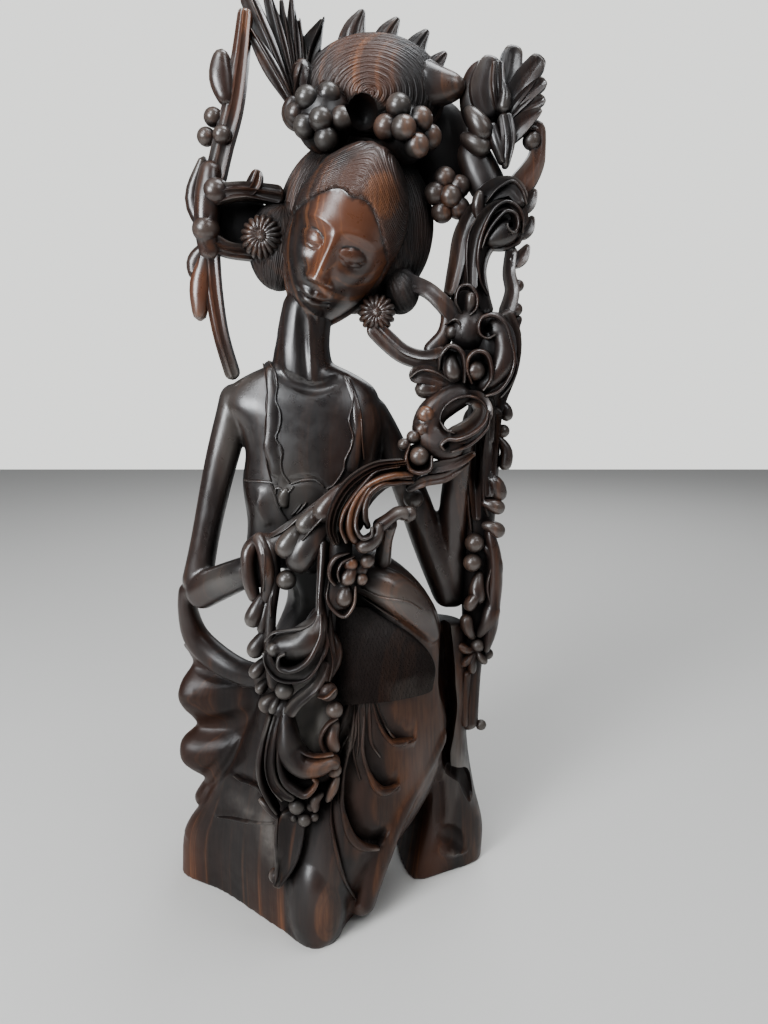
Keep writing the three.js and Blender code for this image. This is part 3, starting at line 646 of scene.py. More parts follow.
def features(x, z):
    """How far the face stands out at x, z on its front, in mm: a sum of soft bells and fine grooves."""
    side = np.abs(x)
    eye = side - EYE_APART
    lid = np.clip(1 - (eye / 7.2) ** 2 - ((z - EYE_HEIGHT) / 5.0) ** 2, 0, 1) ** 0.85
    on_lid = rise(-np.abs(eye), -7.4, -6.0)
    lashes = bump((z - (EYE_HEIGHT - 2.6 + 0.034 * eye**2)) / 0.6) * on_lid
    crease = bump((z - (EYE_HEIGHT + 4.6 - 0.05 * eye**2)) / 0.6) * on_lid
    brow = bump((z - (9.5 - 0.022 * (side - 10) ** 2)) / 2.2) * bump((side - 12) / 11)
    nose_run = np.clip((8 - z) / 26, 0, 1)
    nose_end = rise(z, -21.5, -18.0)
    nose = (
        1.2 + 7.6 * nose_run**1.2
    ) * np.exp(-np.abs(x / (3.0 + 2.0 * nose_run)) ** 2.4) * nose_end * (z < 12)
    nose = nose * rise(-z, -12, 2)
    wings = 3.2 * bump((side - 4.9) / 2.3) * bump((z + 18.4) / 2.3)
    mouth_line = MOUTH_HEIGHT + 0.010 * x**2
    upper = 2.3 * bump((z - mouth_line - 2.0 + 0.5 * bump(x / 1.4)) / 1.7) * np.exp(-((side / 8.2) ** 4))
    lower = 2.7 * bump((z - mouth_line + 2.3) / 1.9) * np.exp(-((side / 6.4) ** 4))
    parting = 1.3 * bump((z - mouth_line) / 0.6) * rise(-side, -9.2, -7.8)
    corners = 0.8 * bump((side - 9) / 1.3) * bump((z - MOUTH_HEIGHT - 0.6) / 1.3)
    return (
        -3.0 * bump(eye / 8.5) * bump((z - EYE_HEIGHT - 0.5) / 6)
        + 3.6 * lid - 0.8 * lashes - 0.5 * crease + 1.1 * brow + nose + wings
        - 0.5 * bump(x / 1.1) * bump((z + 24.5) / 2.0)
        + 2.0 * bump(x / 11) * bump((z - MOUTH_HEIGHT) / 8) + upper + lower - parting - corners
        - 0.9 * bump(x / 7) * bump((z + 37) / 2.4) + 2.4 * bump(x / 7) * bump((z + 43) / 5)
        + 1.8 * bump((side - 15) / 8) * bump((z + 14) / 9)
    )


def head_places(local):
    """Head-local millimetres turned by the lean and the bow and set on the neck."""
    return local @ HEAD_TURN.T + HEAD_CENTRE


def head_shape(unit):
    """A ball as a head: it narrows to the chin and is flatter there in front."""
    low = np.clip(-unit[..., 2], 0, 1)
    high = np.clip(unit[..., 2], 0, 1)
    narrow = 1 - 0.4 * low**2.4 + 0.3 * high * (1 - high)
    return unit * np.stack([narrow, 1 - 0.12 * low, np.ones_like(low)], axis=-1)


CROWDING = 0.62  # how much closer the columns stand in front than behind
longitude = np.linspace(-np.pi, np.pi, 210, endpoint=False)
longitude = longitude - CROWDING * np.sin(longitude)
latitude = np.linspace(-np.pi / 2, np.pi / 2, 202)[1:-1, None]
unit = np.stack(
    [
        np.cos(latitude) * np.sin(longitude),
        -np.cos(latitude) * np.cos(longitude),
        np.sin(latitude) * np.ones_like(longitude),
    ],
    axis=-1,
)
face = head_shape(unit) * HEAD_HALF
in_front = rise(-unit[..., 1], 0.25, 0.6)
face[..., 1] -= features(face[..., 0], face[..., 2]) * in_front
poles = head_places(np.array([[0, 0, -HEAD_HALF[2]], [0, 0, HEAD_HALF[2]]]))
carve(head_places(face), warm=1.0, ends=poles)
print("the face is a grid of", face.shape[:2])

# %% [markdown]
# ## The hair
# Her hair is drawn back from the hairline into a heavy mass behind the neck and a high coil above. The
# carver combed it with a veiner: fine parallel grooves that follow the strands. Those grooves are real
# geometry here. Over her brow the strands sweep down and back from a parting, so the grooves are a wave
# of a height that falls away to both sides. The mane and the tresses are balls whose pole is where the
# strands meet, with a wave along the longitude, and the coil has its wave along the latitude.


# %% Combed balls and the cap with its parting
def turned_ball(around, up, pole):
    """A unit ball grid whose upper pole points along a given direction."""
    grid, longitude, latitude = ball_grid(around, up)
    pole = np.array(pole, float) / np.linalg.norm(pole)
    side = np.cross(pole, [0.3, 1.0, 0.2])
    side /= np.linalg.norm(side)
    frame_of = np.stack([side, np.cross(pole, side), pole])
    return grid @ frame_of, longitude, latitude


def groove(phase):
    """A veiner's mark: rounded ridges with sharp valleys, from 0 in a valley to 1 on a ridge."""
    return np.abs(np.sin(phase)) ** 0.7


PARTING_PITCH = 2.1  # mm from strand to strand
HAIRLINE = 27  # mm above the head's middle, at the brow
cap, _, _ = turned_ball(250, 130, (0.0, 0.5, 0.9))
cap = head_shape(cap) * HEAD_HALF
x, y, z = np.moveaxis(cap, -1, 0)
above = np.maximum(z - HAIRLINE + 0.034 * x**2 + 3 * bump(x / 5), y + 10)
sideways = np.sqrt(x**2 + 9) - 3
down = z + 0.75 * sideways + 0.012 * sideways**2 - 0.25 * y
combed = 0.02 * groove(down * math.pi / PARTING_PITCH)
size = 0.955 + 0.075 * rise(above, -1.6, 2.4) + combed * rise(above, 0.3, 3)
carve(head_places(cap * size[..., None]), warm=0.5, strand=down * 2, finish=COMBED)


# %% The mane, the coil and a tress at each side
def tress(centre, half, pole, strands, up, deep, twist, breadth, warm):
    """A ball combed from pole to pole. A groove's phase is the longitude times half the number of
    strands, plus a twist by latitude, and its depth fades towards both poles."""
    ball, longitude, latitude = turned_ball(strands * 4, up, pole)
    combed = 1 - deep * (1 - groove(longitude * strands / 2 + twist * latitude)) * np.cos(latitude) ** 0.5
    places = np.array(centre) + ball * np.array(half) * combed[..., None]
    carve(places, warm, longitude * breadth + 0 * latitude, COMBED)


tress([19, 14, 396], [44, 25, 48], (0, -0.25, 1), 60, 40, deep=0.022, twist=2.2, breadth=40, warm=0.25)

COIL_CENTRE = np.array([29, 18, 466.0])
COIL_HALF = np.array([40, 25, 30.0])
COIL_TURNS = 17
coil, longitude, latitude = turned_ball(72, COIL_TURNS * 10, (-0.05, -1.0, -0.25))
wound = 1 - 0.028 * (1 - groove(latitude * COIL_TURNS * 2 + longitude / 2))
carve(COIL_CENTRE + coil * COIL_HALF * wound[..., None], 0.5, latitude * 38 + 0 * longitude, COMBED)

for centre, half, pole in [
    ([-24, 8, 384], [17, 15, 24], (0.3, -0.4, 1.0)),
    ([44, 5, 360], [11, 12, 13], (-0.5, -0.3, 1.0)),
]:
    tress(centre, half, pole, 26, 24, deep=0.05, twist=2, breadth=20, warm=0.2)
print("hair combed")

# %% [markdown]
# ## The ornament
# Everything from here to the feet is relief that stands free of the block: the crown, the fruit, the
# feathers, the stave, and then the garland from the top down. Each group is a list of strips, leaves and
# beads that the helpers above carve one by one.

# %% The crown and the bridge of hair to the spray
for root, tip, wide in [
    ([18, 14, 480], [24, 14, 507], 10),
    ([34, 14, 480], [43, 14, 503], 9),
    ([49, 14, 474], [59, 14, 497], 9),
    ([57, 14, 465], [69, 14, 486], 8),
]:
    middle = [(root[0] + tip[0]) / 2 - 2.5, 14, (root[2] + tip[2]) / 2 + 1]
    strip([root, middle, tip], [wide, wide * 0.75, 1.4], [6, 5, 2], flutes=2, depth=0.3, steps=16)
strip([[48, 13, 470], [62, 9, 467], [79, 8, 466]], [17, 11, 5], [12, 9, 7], warm=0.45)
strip([[58, 26, 466], [66, 26, 438], [70, 20, 408]], [20, 18, 10], [8, 8, 8])

# %% Fruit in her hair
for centre, half in [([3, 0, 447], [15, 14, 17]), ([46, 0, 440], [13, 14, 15])]:
    carve(lump(centre, half, 28, 18), 0.4)
for place in [
    [-5, -9, 455], [6, -8, 457], [2.5, -14, 443], [13, -12, 444], [5, -12, 434.5], [-6, -10, 441],
    [-11, -4, 449],
]:
    bead(place, 6.4, 0.3)
for place in [
    [42.5, -12, 450], [54, -8, 445], [45, -16, 438.5], [52, -12, 431], [36, -12, 440], [59, -3, 438],
]:
    bead(place, 6.6, 0.7)
for place in [[68, 4, 419], [63, 3, 411], [71, 1, 409], [76, 5, 404], [67, 5, 402], [76, 5, 415]]:
    bead(place, 6.2, 0.3)


# %% A flower at each side of her neck
def blossom(centre, radius, petals):
    """A many-petalled flower head: a ball whose pole faces out, with a groove between petals and a
    small button in its middle."""
    grid, longitude, latitude = turned_ball(petals * 6, 18, TOWARDS_VIEWER)
    petal = 1 - 0.15 * (1 - groove(longitude * petals / 2)) * np.cos(latitude)
    middle = 1 - 0.16 * bump((latitude - 1.25) / 0.12)
    places = np.array(centre) + grid * radius * (petal * middle)[..., None] * np.array([1, 0.7, 1])
    carve(places, 0.15)


blossom([-31, -3, 387], 12, 18)
blossom([31, -6, 347], 10.5, 16)

# %% Feathers at the upper left
for points, wide in [
    ([[-15, 5, 457], [-25, 4, 474], [-36, 3, 492]], [2, 4.4, 2.0]),
    ([[-15, 7, 459], [-26, 6, 485], [-38, 5, 512]], [2, 5, 4.4]),
    ([[-14, 9, 462], [-20, 9, 486], [-27, 9, 512]], [2, 4.2, 2.6]),
    ([[-13, 11, 464], [-17, 11, 488], [-20, 11, 510]], [2, 3.6, 0.8]),
    ([[-11, 12, 464], [-13.5, 12, 488], [-14.5, 12, 512]], [2, 4.6, 0.9]),
    ([[-9, 13, 462], [-9.5, 13, 484], [-11, 13, 501]], [2, 3.8, 0.8]),
    ([[-9, 14, 468], [-6, 14, 485], [2, 14, 502]], [4, 6.4, 0.9]),
]:
    strip(points, wide, [5.5, 5, 2.6], flutes=1, depth=0.6)
    edge = np.array(points, float) + [1.2, -2.4, 0]
    lip(edge.tolist(), 0.7)
carve(lump([-9, 9, 470], [6.5, 6, 11]))
strip([[-13, 8, 452], [-12, 9, 464], [-8, 10, 478]], [5, 6, 5], 8, 2, depth=0.5)
leaf([-12, 4, 443], [-15, 3, 451], [-13, 4, 460], 5, 5)

# %% The leafy stave at her right
strip(
    [[-37, 2, 502], [-41, 2, 477], [-46, 2, 453], [-52, 1, 433], [-57, 0, 414]],
    [3.9, 4.8, 5.9, 5.9, 6], 5, 2, 0.5, depth=0.3,
)
strip([[-57, 0, 427], [-60, -2, 407], [-61, -3, 390], [-59, -2, 374]], [5.9, 7, 6.5, 5.5], [6, 8, 7, 5])
strip(
    [[-60, -2, 384], [-59, -1, 360], [-56, 0, 336], [-50, 3, 311]],
    [5.5, 5, 4.5, 4.5], 4.8, 2, 0.6, depth=0.3,
)
leaf([-48, 1, 454], [-51, 0, 468], [-50, 0, 482], 6.4, 4)
for place, radius in [
    ([-56, 1, 449], 5.2),
    ([-60, 0, 439], 5),
    ([-51, -3, 439], 5),
    ([-55, -5, 410], 7.4),
    ([-61, -5, 391], 7.4),
]:
    bead(place, radius)
strip([[-58, -3, 408], [-45, -5, 410], [-37, -1, 411], [-20, 6, 410]], [6.4, 4.8, 5, 6], 6, 2)
leaf([-40, -2, 408], [-35, -2, 414], [-32, -2, 422], 4.4, 4, flutes=2)
strip([[-61, -2, 386], [-50, 0, 381], [-39, 3, 380], [-26, 8, 380]], [6, 4.6, 4.8, 6], [7, 6, 6, 8], 2)
strip([[-60, 7, 398], [-44, 9, 397], [-28, 12, 396]], [11, 15, 15], 3.5)
leaf([-62, 3, 430], [-70, 6, 408], [-62, 3, 388], 4.4, 4)
leaf([-62, -1, 384], [-69, 0, 374], [-69, 0, 365], 4.6, 4)
leaf([-61, -1, 382], [-66, -2, 362], [-67, -2, 343], 5.8, 4.5, 0.8)

# %% The spray of leaves at the upper right
strip([[86, 13, 438], [97, 13, 455], [106, 12, 474]], [10, 16, 14], 6)
carve(lump([88, 11, 462], [12, 8, 19], 30, 20))
dish([[92, 7, 448], [88, 6, 464], [93, 7, 481]], [6, 8, 5.4], 6, 0.3)
dish([[97, 6, 450], [101, 5, 468], [104, 6, 486]], [3, 6.6, 5.6], 5, 0.5)
dish([[98, 5, 449], [108, 4, 466], [119, 5, 480]], [3, 6.6, 5.0], 5, 0.5)
dish([[99, 4, 447], [110, 3, 459], [121, 4, 468]], [2, 4.2, 3.4], 4.5)
dish([[99, 4, 445], [110, 3, 453], [121, 4, 459]], [2, 3.4, 2.8], 4.5)
dish([[100, 3, 434], [108, 2, 445], [119, 3, 453]], [2, 5.4, 1.4], 4.5)
strip([[97, 4, 452], [95, 1, 464], [95, 3, 477]], [3, 4.6, 3.4], 4, 3, 0.8, depth=0.4)
petal([97, 2, 468], [99, 1, 460], [98, 1, 450], 3.6, 5, 0.5)
petal([79, 5, 454], [84, 1, 447], [91, 2, 437], 6, 8)
petal([77, 7, 441], [84, 3, 436], [92, 4, 432], 5.4, 8)
strip([[99, 2, 451], [101, 0, 438], [100.5, 1, 423]], [4, 4.4, 1.6], 5, 2, 0.5, depth=0.3)
strip([[92, 2, 446], [95, 0, 436], [99, 1, 425]], [3, 3.4, 1.4], 4.5, warm=0.3)
strip([[80, 12, 440], [86, 9, 428], [96, 8, 408]], [8, 10, 10], 8)
bead([115, 5, 438.5], 5)
strip(
    [[110, 7, 445], [118, 7, 445], [119, 8, 437], [118, 8, 429], [113, 8, 420], [106, 8, 412]],
    [2, 3.4, 4.4, 5.8, 7, 7], 6, 1, 0.5, depth=0.3,
)

# %% The top volute of the garland
strip(
    [[71, 2, 356], [75, 3, 374], [78, 4, 390], [84, 4, 402], [92, 4, 409]],
    [3.4, 4.4, 4.8, 4.4, 3], 6.5, 1, depth=0.55,
)
strip(
    [[80, 4, 350], [81, 4, 378], [87, 4, 396], [97, 4, 405], [107, 4, 402], [110, 4, 392]],
    [9, 7, 7, 8, 7, 5], 4,
)
dish([[84, 3, 404], [94, 2, 412], [104, 1, 413], [111, 1, 404]], [4, 6, 6, 4], 5)
dish(
    [[83, 0, 358], [83, 0, 376], [86, 0, 391], [94, -1, 402], [103, -1, 403], [108, -1, 394]],
    [3.6, 4, 4.2, 4, 3, 2.2], 5.4, 0.6,
)
strip([[90, 2, 384], [97, 1, 388], [104, 1, 392], [109, 2, 394]], [3, 6, 7, 4.4], [5, 6, 6, 5])
dish([[94, 0, 393], [99, -1, 397], [104, -1, 396]], [2, 3.4, 2], 4)
lip([[81, -1, 362], [80, -2, 377], [81, -2, 389], [85, -2, 397]], 0.8)
lip(
    [
        [92, 1, 357], [88, -1, 364], [86, -3, 375], [87, -4, 385], [90, -4, 394], [95, -4, 402],
        [101, -4, 405], [107, -4, 402], [110, -3, 396], [110, -2, 389],
    ],
    1.2,
)
lip(
    [
        [88, -3, 381], [91, -4, 389], [96, -4, 396], [101, -5, 400], [106, -5, 398], [107, -5, 392],
        [105, -5, 389], [102, -5, 391], [101, -5, 394],
    ],
    1.1,
)
lip([[90, -1, 405], [96, -1, 412], [104, -1, 416], [109, -1, 412], [112, -1, 404]], 1.0)
strip(
    [[93, 3, 346], [90, 3, 358], [88, 3, 372], [93, 3, 384], [102, 4, 385], [111, 4, 389]],
    [4.4, 3.8, 4, 4, 4, 3.4], 5, 1, depth=0.5,
)
strip([[106, 6, 384], [105, 7, 370], [107, 7, 360], [103, 5, 345]], [3.4, 3.6, 4.4, 5], 5, 1, depth=0.5)
bead([110, 7, 363], 3.6)
bead([109, 6, 350], 4)
for root, tip in [
    ([108, 6, 402], [118, 7, 414]), ([108, 6, 389], [117, 7, 400]), ([105, 6, 374], [115, 7, 385])
]:
    dish([root, ((np.array(root) + tip) / 2 + [1.5, 0, -1]).tolist(), tip], [4, 4.4, 1.4], 4)
leaf([87, 2, 396], [86, 0, 404], [87, 0, 412], 3.6, 4)

# %% The knot where the bars from her hair meet the garland
strip(
    [[40, 2, 368], [49, 2, 364], [59, 1, 360], [67, -1, 353], [77, -1, 342]],
    [6, 5, 4.6, 5, 6], 7, 1, depth=0.25,
)
strip(
    [[27, -4, 342], [36, -4, 333], [46, -5, 325], [57, -5, 322], [72, -4, 324]],
    [5.4, 5.6, 5.4, 5.6, 8], 7, 2, depth=0.2,
)
strip([[68, 0, 352], [70, -2, 342], [68, -3, 334], [58, -3, 325]], [2, 4, 5, 4], 4)
strip([[76, 4, 354], [84, 0, 335], [82, -2, 312], [76, -4, 298]], [8, 11, 12, 10], 7)
carve(lump([82, -4, 338], [11, 9, 12], 28, 18))
carve(lump([96, -4, 330], [10, 8, 18], 28, 18))
dish([[79, -5, 345], [79, -6, 352], [80, -6, 360]], [4.4, 5, 4], 4)
petal([81, -5, 346], [82, -8, 352], [82, -7, 358], 3.2, 5)
lip(
    [
        [77, -7, 347], [74, -9, 353], [76, -9, 360], [81, -9, 361], [85, -9, 356], [85, -9, 349],
        [81, -9, 345],
    ],
    1.1,
)
bead([73, -6, 337], 4.6)
lip([[69, -7, 341], [74, -10, 343], [77, -9, 339], [77, -9, 333]], 0.9)
strip(
    [[91, -6, 341], [98, -7, 338], [101, -8, 330], [100, -8, 320], [95, -7, 312], [87, -7, 305]],
    [5, 6.4, 6.6, 6.8, 6, 4], [7, 8, 8, 8, 8, 6],
)
bead([97, -10, 337], 5)
lip(
    [
        [95, -13, 335], [91, -14, 333], [87, -14, 335], [86, -14, 340], [88, -14, 344], [94, -14, 345],
        [100, -14, 341], [104, -13, 331], [106, -12, 322], [104, -12, 313], [98, -13, 305], [90, -13, 302],
    ],
    1.3,
)
lip([[106, -8, 328], [108, -8, 318], [105, -9, 309], [99, -10, 301]], 1.0)
bead([85, -12, 316], 5.8)
lip(
    [
        [83, -12, 309], [80, -14, 317], [81, -15, 323], [85, -15, 326], [90, -15, 325], [93, -14, 319],
        [93, -13, 311], [89, -12, 305],
    ],
    1.4, 4,
)
dish([[73, -6, 328], [72, -9, 321], [74, -10, 309]], [4, 6, 5], 4, 0.3)
petal([73, -6, 327], [72, -10, 320], [74, -11, 310], 4.8, 5)
lip(
    [[65, -10, 317], [66, -13, 324], [71, -14, 329], [77, -14, 326], [79, -13, 319], [79, -12, 309]],
    1.4, 3.6,
)
dish([[74, -6, 311], [65, -8, 312], [56, -9, 314], [49, -8, 312]], [3, 5, 5.6, 4.4], 5, 0.4)
petal([72, -5, 309], [63, -7, 306], [52, -7, 306], 5, 6)
lip([[72, -10, 310], [63, -12, 315], [55, -12, 316], [49, -11, 312]], 0.9)
strip([[84, -5, 306], [71, -6, 304], [62, -8, 298]], [5, 6, 5], 6)
strip([[112, 9, 347], [109, 9, 340], [112, 9, 334]], [2.4, 3.4, 2.4], 4)

# %% The open ring under the knot, and the fruit beside it
strip(
    [[84, -6, 305], [70, -8, 299], [61, -11, 291], [60, -13, 281], [68, -15, 275], [80, -15, 276]],
    [6, 8, 8.4, 9, 8.4, 6], 7,
)
dish(
    [[78, -6, 302], [87, -8, 300], [90, -10, 294], [86, -13, 287], [78, -16, 282], [69, -17, 280]],
    [4, 5, 5.4, 6, 6, 4.6], 7, 0.5,
)
lip(
    [
        [66, -15, 286], [66, -14, 292], [69, -13, 297], [75, -13, 301], [83, -13, 302], [89, -12, 299],
        [92, -12, 294],
    ],
    1.0,
)
lip(
    [
        [92, -14, 294], [90, -17, 288], [83, -20, 282], [75, -22, 279], [69, -23, 279], [66, -23, 276],
        [68, -23, 273],
    ],
    1.4, 3.4,
)
lip([[93, -14, 292], [92, -16, 286], [87, -18, 280], [80, -20, 275], [71, -21, 272]], 1.1)
lip([[66, -16, 288], [69, -19, 284], [74, -20, 282]], 0.9)
bead([58, -15, 292], 5.2, 0.6)
bead([56, -16, 284], 4.4)
bead([51, -18, 280], 3.8)
bead([46, -19, 276], 3.6)
carve(lump([54, -16, 268], [8.5, 5, 8.5], 28, 16))
bead([54, -21, 269.5], 5.6)
lip([[49, -19, 276], [47, -22, 269], [49, -23, 263], [54, -23, 261], [60, -22, 263], [61, -20, 270]], 1.4, 4)
dish([[57, -17, 262], [66, -17, 264], [75, -16, 266], [85, -13, 271]], [3, 3.6, 3, 1.4], 5)
dish([[47, -18, 251], [58, -18, 256], [69, -16, 258], [82, -13, 266]], [2, 3.2, 2.8, 1.2], 5, 0.4)

# %% The big scroll across her waist, and its stub
strip(
    [[47, -18, 262], [32, -26, 259], [22, -34, 251], [18, -39, 240], [20, -41, 231]],
    [6, 7.6, 8.4, 7.6, 6], 5,
)
strip(
    [
        [46, -23, 267], [31, -29, 265], [21, -36, 260], [14, -41, 253], [9, -45, 243], [8, -46, 234],
        [11, -47, 226],
    ],
    [2, 2.8, 3.4, 3.8, 3.8, 3.4, 2.4], 6.5, 3, 0.08, depth=0.4,
)
strip(
    [
        [49, -19, 260], [39, -26, 260], [31, -31, 258], [24, -36, 254], [19, -41, 247], [17, -44, 240],
        [18, -45, 232], [23, -46, 227],
    ],
    [2, 2.4, 2.7, 2.8, 2.8, 2.9, 3.2, 3], [6, 7, 7.5, 8, 8, 8, 8, 7], warm=0.45,
)
strip(
    [
        [49, -19, 256], [39, -26, 256], [32, -33, 255], [27, -39, 251], [25, -43, 246], [25, -44, 240],
        [27, -45, 234],
    ],
    [1.6, 1.8, 1.8, 2, 2, 2, 1.6], 6.5,
)
strip([[32, -42, 237], [31, -44, 231], [27, -46, 227], [20, -46, 225]], [2.6, 3.8, 4.6, 3.6], 8)
lip(
    [
        [43, -27, 265], [31, -33, 263], [24, -40, 257], [18, -46, 250], [14, -51, 243], [13, -52, 236],
        [16, -53, 228],
    ],
    1.2,
)
lip(
    [
        [49, -23, 258], [38, -29, 259], [30, -35, 257], [25, -42, 252], [22, -47, 246], [20.5, -50, 240],
        [21, -52, 235], [24, -53, 231], [28, -52, 232], [29, -50, 236],
    ],
    1.4, 3.6,
)
strip([[30, -41, 233], [37, -39, 238], [42, -37, 241], [47, -34, 240]], [4.6, 3.6, 3.4, 4.2], 6)
bead([48, -34, 240], 4.4)
strip([[39, -37, 238], [36, -31, 226], [34, -23, 210]], [4, 4, 5], [6, 7, 9])
bead([52, 1, 243], 5.8)

# %% Buds and the broad petal below the big scroll
strip([[13, -39, 232], [12, -41, 219], [14, -42, 202]], [5.6, 6.6, 6], 6)
bead([17, -46, 216], 4.4, 0.6)
bead([26, -45, 217], 4)
bead([22, -42, 212], 4.4)
petal([20, -43, 214], [16, -47, 209], [15, -48, 204], 4.2, 5)
bead([23, -45, 207], 3.4)
lip([[16, -46, 222], [10, -49, 220], [7, -49, 215], [7, -49, 209], [10, -49, 205]], 1.4, 4)
lip([[19, -46, 220], [13, -49, 217], [11, -50, 212], [12, -50, 207]], 0.9)
dish([[11, -42, 207], [11, -45, 199], [13, -45, 190]], [5, 7.4, 5], 5, 0.3)
petal([15, -43, 205], [14, -46, 198], [14, -46, 192], 4.8, 5.4)
lip([[6, -45, 206], [5, -48, 198], [8, -49, 192], [14, -49, 188], [19, -48, 194], [20, -46, 204]], 1.1)

# %% Petals on the slanting band to her right hand
strip(
    [[17, -36, 250], [3, -34, 240], [-9, -33, 231], [-20, -34, 224], [-31, -36, 222]],
    [5, 8, 8.4, 8.5, 6.5], 7,
)
petal([13, -39, 256], [6, -43, 247], [0, -44, 238], 5.6, 6)
petal([0, -38, 244], [-4, -42, 239], [-9, -43, 231], 5.4, 6)
petal([-9, -37, 235], [-14, -41, 228], [-20, -41, 218], 6, 6)
petal([10, -37, 242], [-3, -41, 228], [-14, -41, 210], 7.4, 6)
lip([[12, -42, 246], [4, -46, 241], [-3, -45, 234], [-8, -44, 228]], 0.9)
lip([[-26, -37, 228], [-17, -38, 233], [-8, -38, 241], [4, -39, 251]], 0.9)
strip([[-6, -18, 210], [2, -32, 222], [8, -38, 238]], [8, 8, 6], [12, 8, 7])

# %% Her right hand, and the string of petals under it
strip(
    [[-31, -30, 227], [-37, -36, 221], [-38, -38, 213], [-37, -39, 204], [-34, -40, 193]],
    [4, 4.4, 4, 4, 3], [6, 6, 5.4, 5, 4],
)
strip(
    [[-33, -33, 229], [-29, -38, 222], [-27, -40, 212], [-27, -40, 203], [-29, -41, 192]],
    [4, 4.2, 4.4, 4, 3], [6, 7, 7, 6, 4],
)
strip([[-30, -31, 228], [-25, -36, 223], [-24, -37, 214], [-24, -37, 203]], [3, 3.4, 3, 2.6], 6)
strip([[-36, -30, 226], [-33, -34, 214], [-32, -36, 200]], 5, 3.4)
lip([[-31, -38, 228], [-28, -43, 221], [-28, -44, 211], [-29, -44, 200]], 1.0)
for root, middle, tip, wide in [
    ([-27, -40, 197], [-29, -42, 186], [-31, -42, 176], 3.2),
    ([-30, -40, 198], [-33, -43, 190], [-37, -43, 180], 4.8),
    ([-28, -41, 178], [-33, -43, 170], [-37, -43, 163], 4.6),
    ([-28, -42, 163], [-33, -44, 157], [-37, -44, 152], 3.8),
    ([-27, -43, 151], [-31, -44, 147], [-34, -45, 143], 3.2),
    ([-21, -46, 144], [-27, -48, 139], [-31, -48, 134], 5),
    ([-17, -48, 142], [-20, -50, 137], [-22, -50, 131], 4.2),
    ([-21, -47, 144], [-24, -50, 138], [-25, -50, 134], 3),
]:
    petal(root, middle, tip, wide, 5)
bead([-17, -43, 206], 5.4)
bead([-18, -53, 148], 5)
strip(
    [[-25, -37, 222], [-24, -39, 205], [-26, -42, 185], [-26, -46, 165], [-23, -47, 146]],
    [4, 3.4, 3, 3.6, 4.4], 5,
)
lip([[-23, -41, 203], [-25, -43, 195], [-25, -46, 186]], 0.8)

# %% The middle scroll
strip([[3, -38, 228], [2, -42, 212], [1, -46, 198], [1, -48, 186]], [3.6, 2.8, 2, 2], 6)
strip([[1, -45, 192], [-3, -48, 176], [-13, -50, 167], [-24, -50, 168]], [3, 8, 9, 6], 4)
strip(
    [
        [2, -44, 198], [1, -47, 188], [-2, -50, 181], [-7, -52, 175], [-14, -53, 173], [-20, -54, 172],
        [-24, -55, 168],
    ],
    [1.2, 3, 6, 9, 8.6, 7.4, 4], [4, 6, 8, 10, 10, 8, 6],
)
bead([-22, -58, 173], 4.2)
strip(
    [
        [3, -48, 184], [3, -50, 173], [-1, -52, 166], [-7, -54, 160], [-15, -55, 159], [-21, -55, 161],
        [-25, -55, 167], [-26, -54, 172],
    ],
    [1.6, 2.8, 3.6, 3.8, 3.8, 3.8, 3.4, 2], 7, 1, depth=0.35,
)
lip(
    [
        [2, -52, 190], [2, -55, 181], [-1, -58, 173], [-5, -60, 167], [-10, -62, 164], [-15, -62, 163],
        [-19, -62, 165], [-19, -61, 170], [-16, -60, 172],
    ],
    1.6, 3.4,
)
lip(
    [
        [4, -52, 172], [0, -57, 163], [-6, -59, 157], [-14, -60, 156], [-21, -60, 158], [-26, -59, 164],
        [-28, -57, 171],
    ],
    1.0, 2.6,
)
lip(
    [[0, -50, 190], [-3, -55, 186], [-8, -57, 184], [-15, -58, 183], [-22, -58, 182], [-27, -57, 177]],
    0.8, 2.4,
)
strip(
    [[4, -48, 164], [1, -50, 154], [-5, -51, 147], [-12, -52, 141], [-17, -52, 134]],
    [3, 3, 3, 3.4, 4], 6, 1, depth=0.3,
)
strip([[6, -41, 189], [6, -45, 175], [6, -47, 163], [4, -50, 151]], [0.8, 2.2, 3.8, 2.4], 5)
strip([[8, -40, 176], [10, -43, 168], [9, -45, 161], [6, -48, 153]], [0.8, 2.4, 2.8, 1.2], 4)
lip([[6, -44, 188], [6, -49, 174], [8, -51, 164], [6, -53, 153]], 0.6)
bead([5, -52, 147], 5.2)
lip([[1, -54, 146], [5, -58, 147], [9, -55, 150]], 0.7)
bead([8.4, -51, 136], 4.6)
strip([[9, -49, 130], [6, -50, 120], [8, -51, 111]], [2.6, 4.6, 3], 4)
petal([10, -49, 129], [7, -52, 121], [9, -52, 112], 3.2, 4, 0.4)
lip([[10, -51, 132], [5, -53, 129], [1, -54, 121], [4, -54, 113], [9, -53, 109]], 1.2)

# %% The lowest scroll, and the tongue on her knee
strip(
    [[-26, -46, 133], [-30, -48, 118], [-32, -50, 106], [-31, -51, 96], [-27, -52, 85], [-23, -52, 77]],
    [1.6, 2.2, 2.6, 2.6, 2.2, 1.2], [8, 9, 9, 9, 7, 5],
)
strip(
    [[-22, -49, 134], [-25, -52, 121], [-26, -54, 109], [-24, -55, 99], [-18, -56, 92], [-12, -57, 89]],
    [2.2, 2.8, 3.2, 3.2, 3, 2], [7, 8, 8, 8, 8, 6], 1, depth=0.3,
)
strip([[-20, -46, 132], [-19, -49, 114], [-11, -52, 101], [0, -53, 101], [8, -52, 104]], [4, 8, 9, 7, 4], 5)
strip(
    [
        [-18, -47, 140], [-17, -51, 127], [-15, -55, 115], [-8, -57, 108], [0, -58, 108], [7, -57, 110],
        [11, -56, 108],
    ],
    [3, 4.4, 6.4, 7.6, 6.6, 4.8, 2.6], [6, 8, 9, 9, 9, 8, 6],
)
bead([1, -61, 109], 3.6)
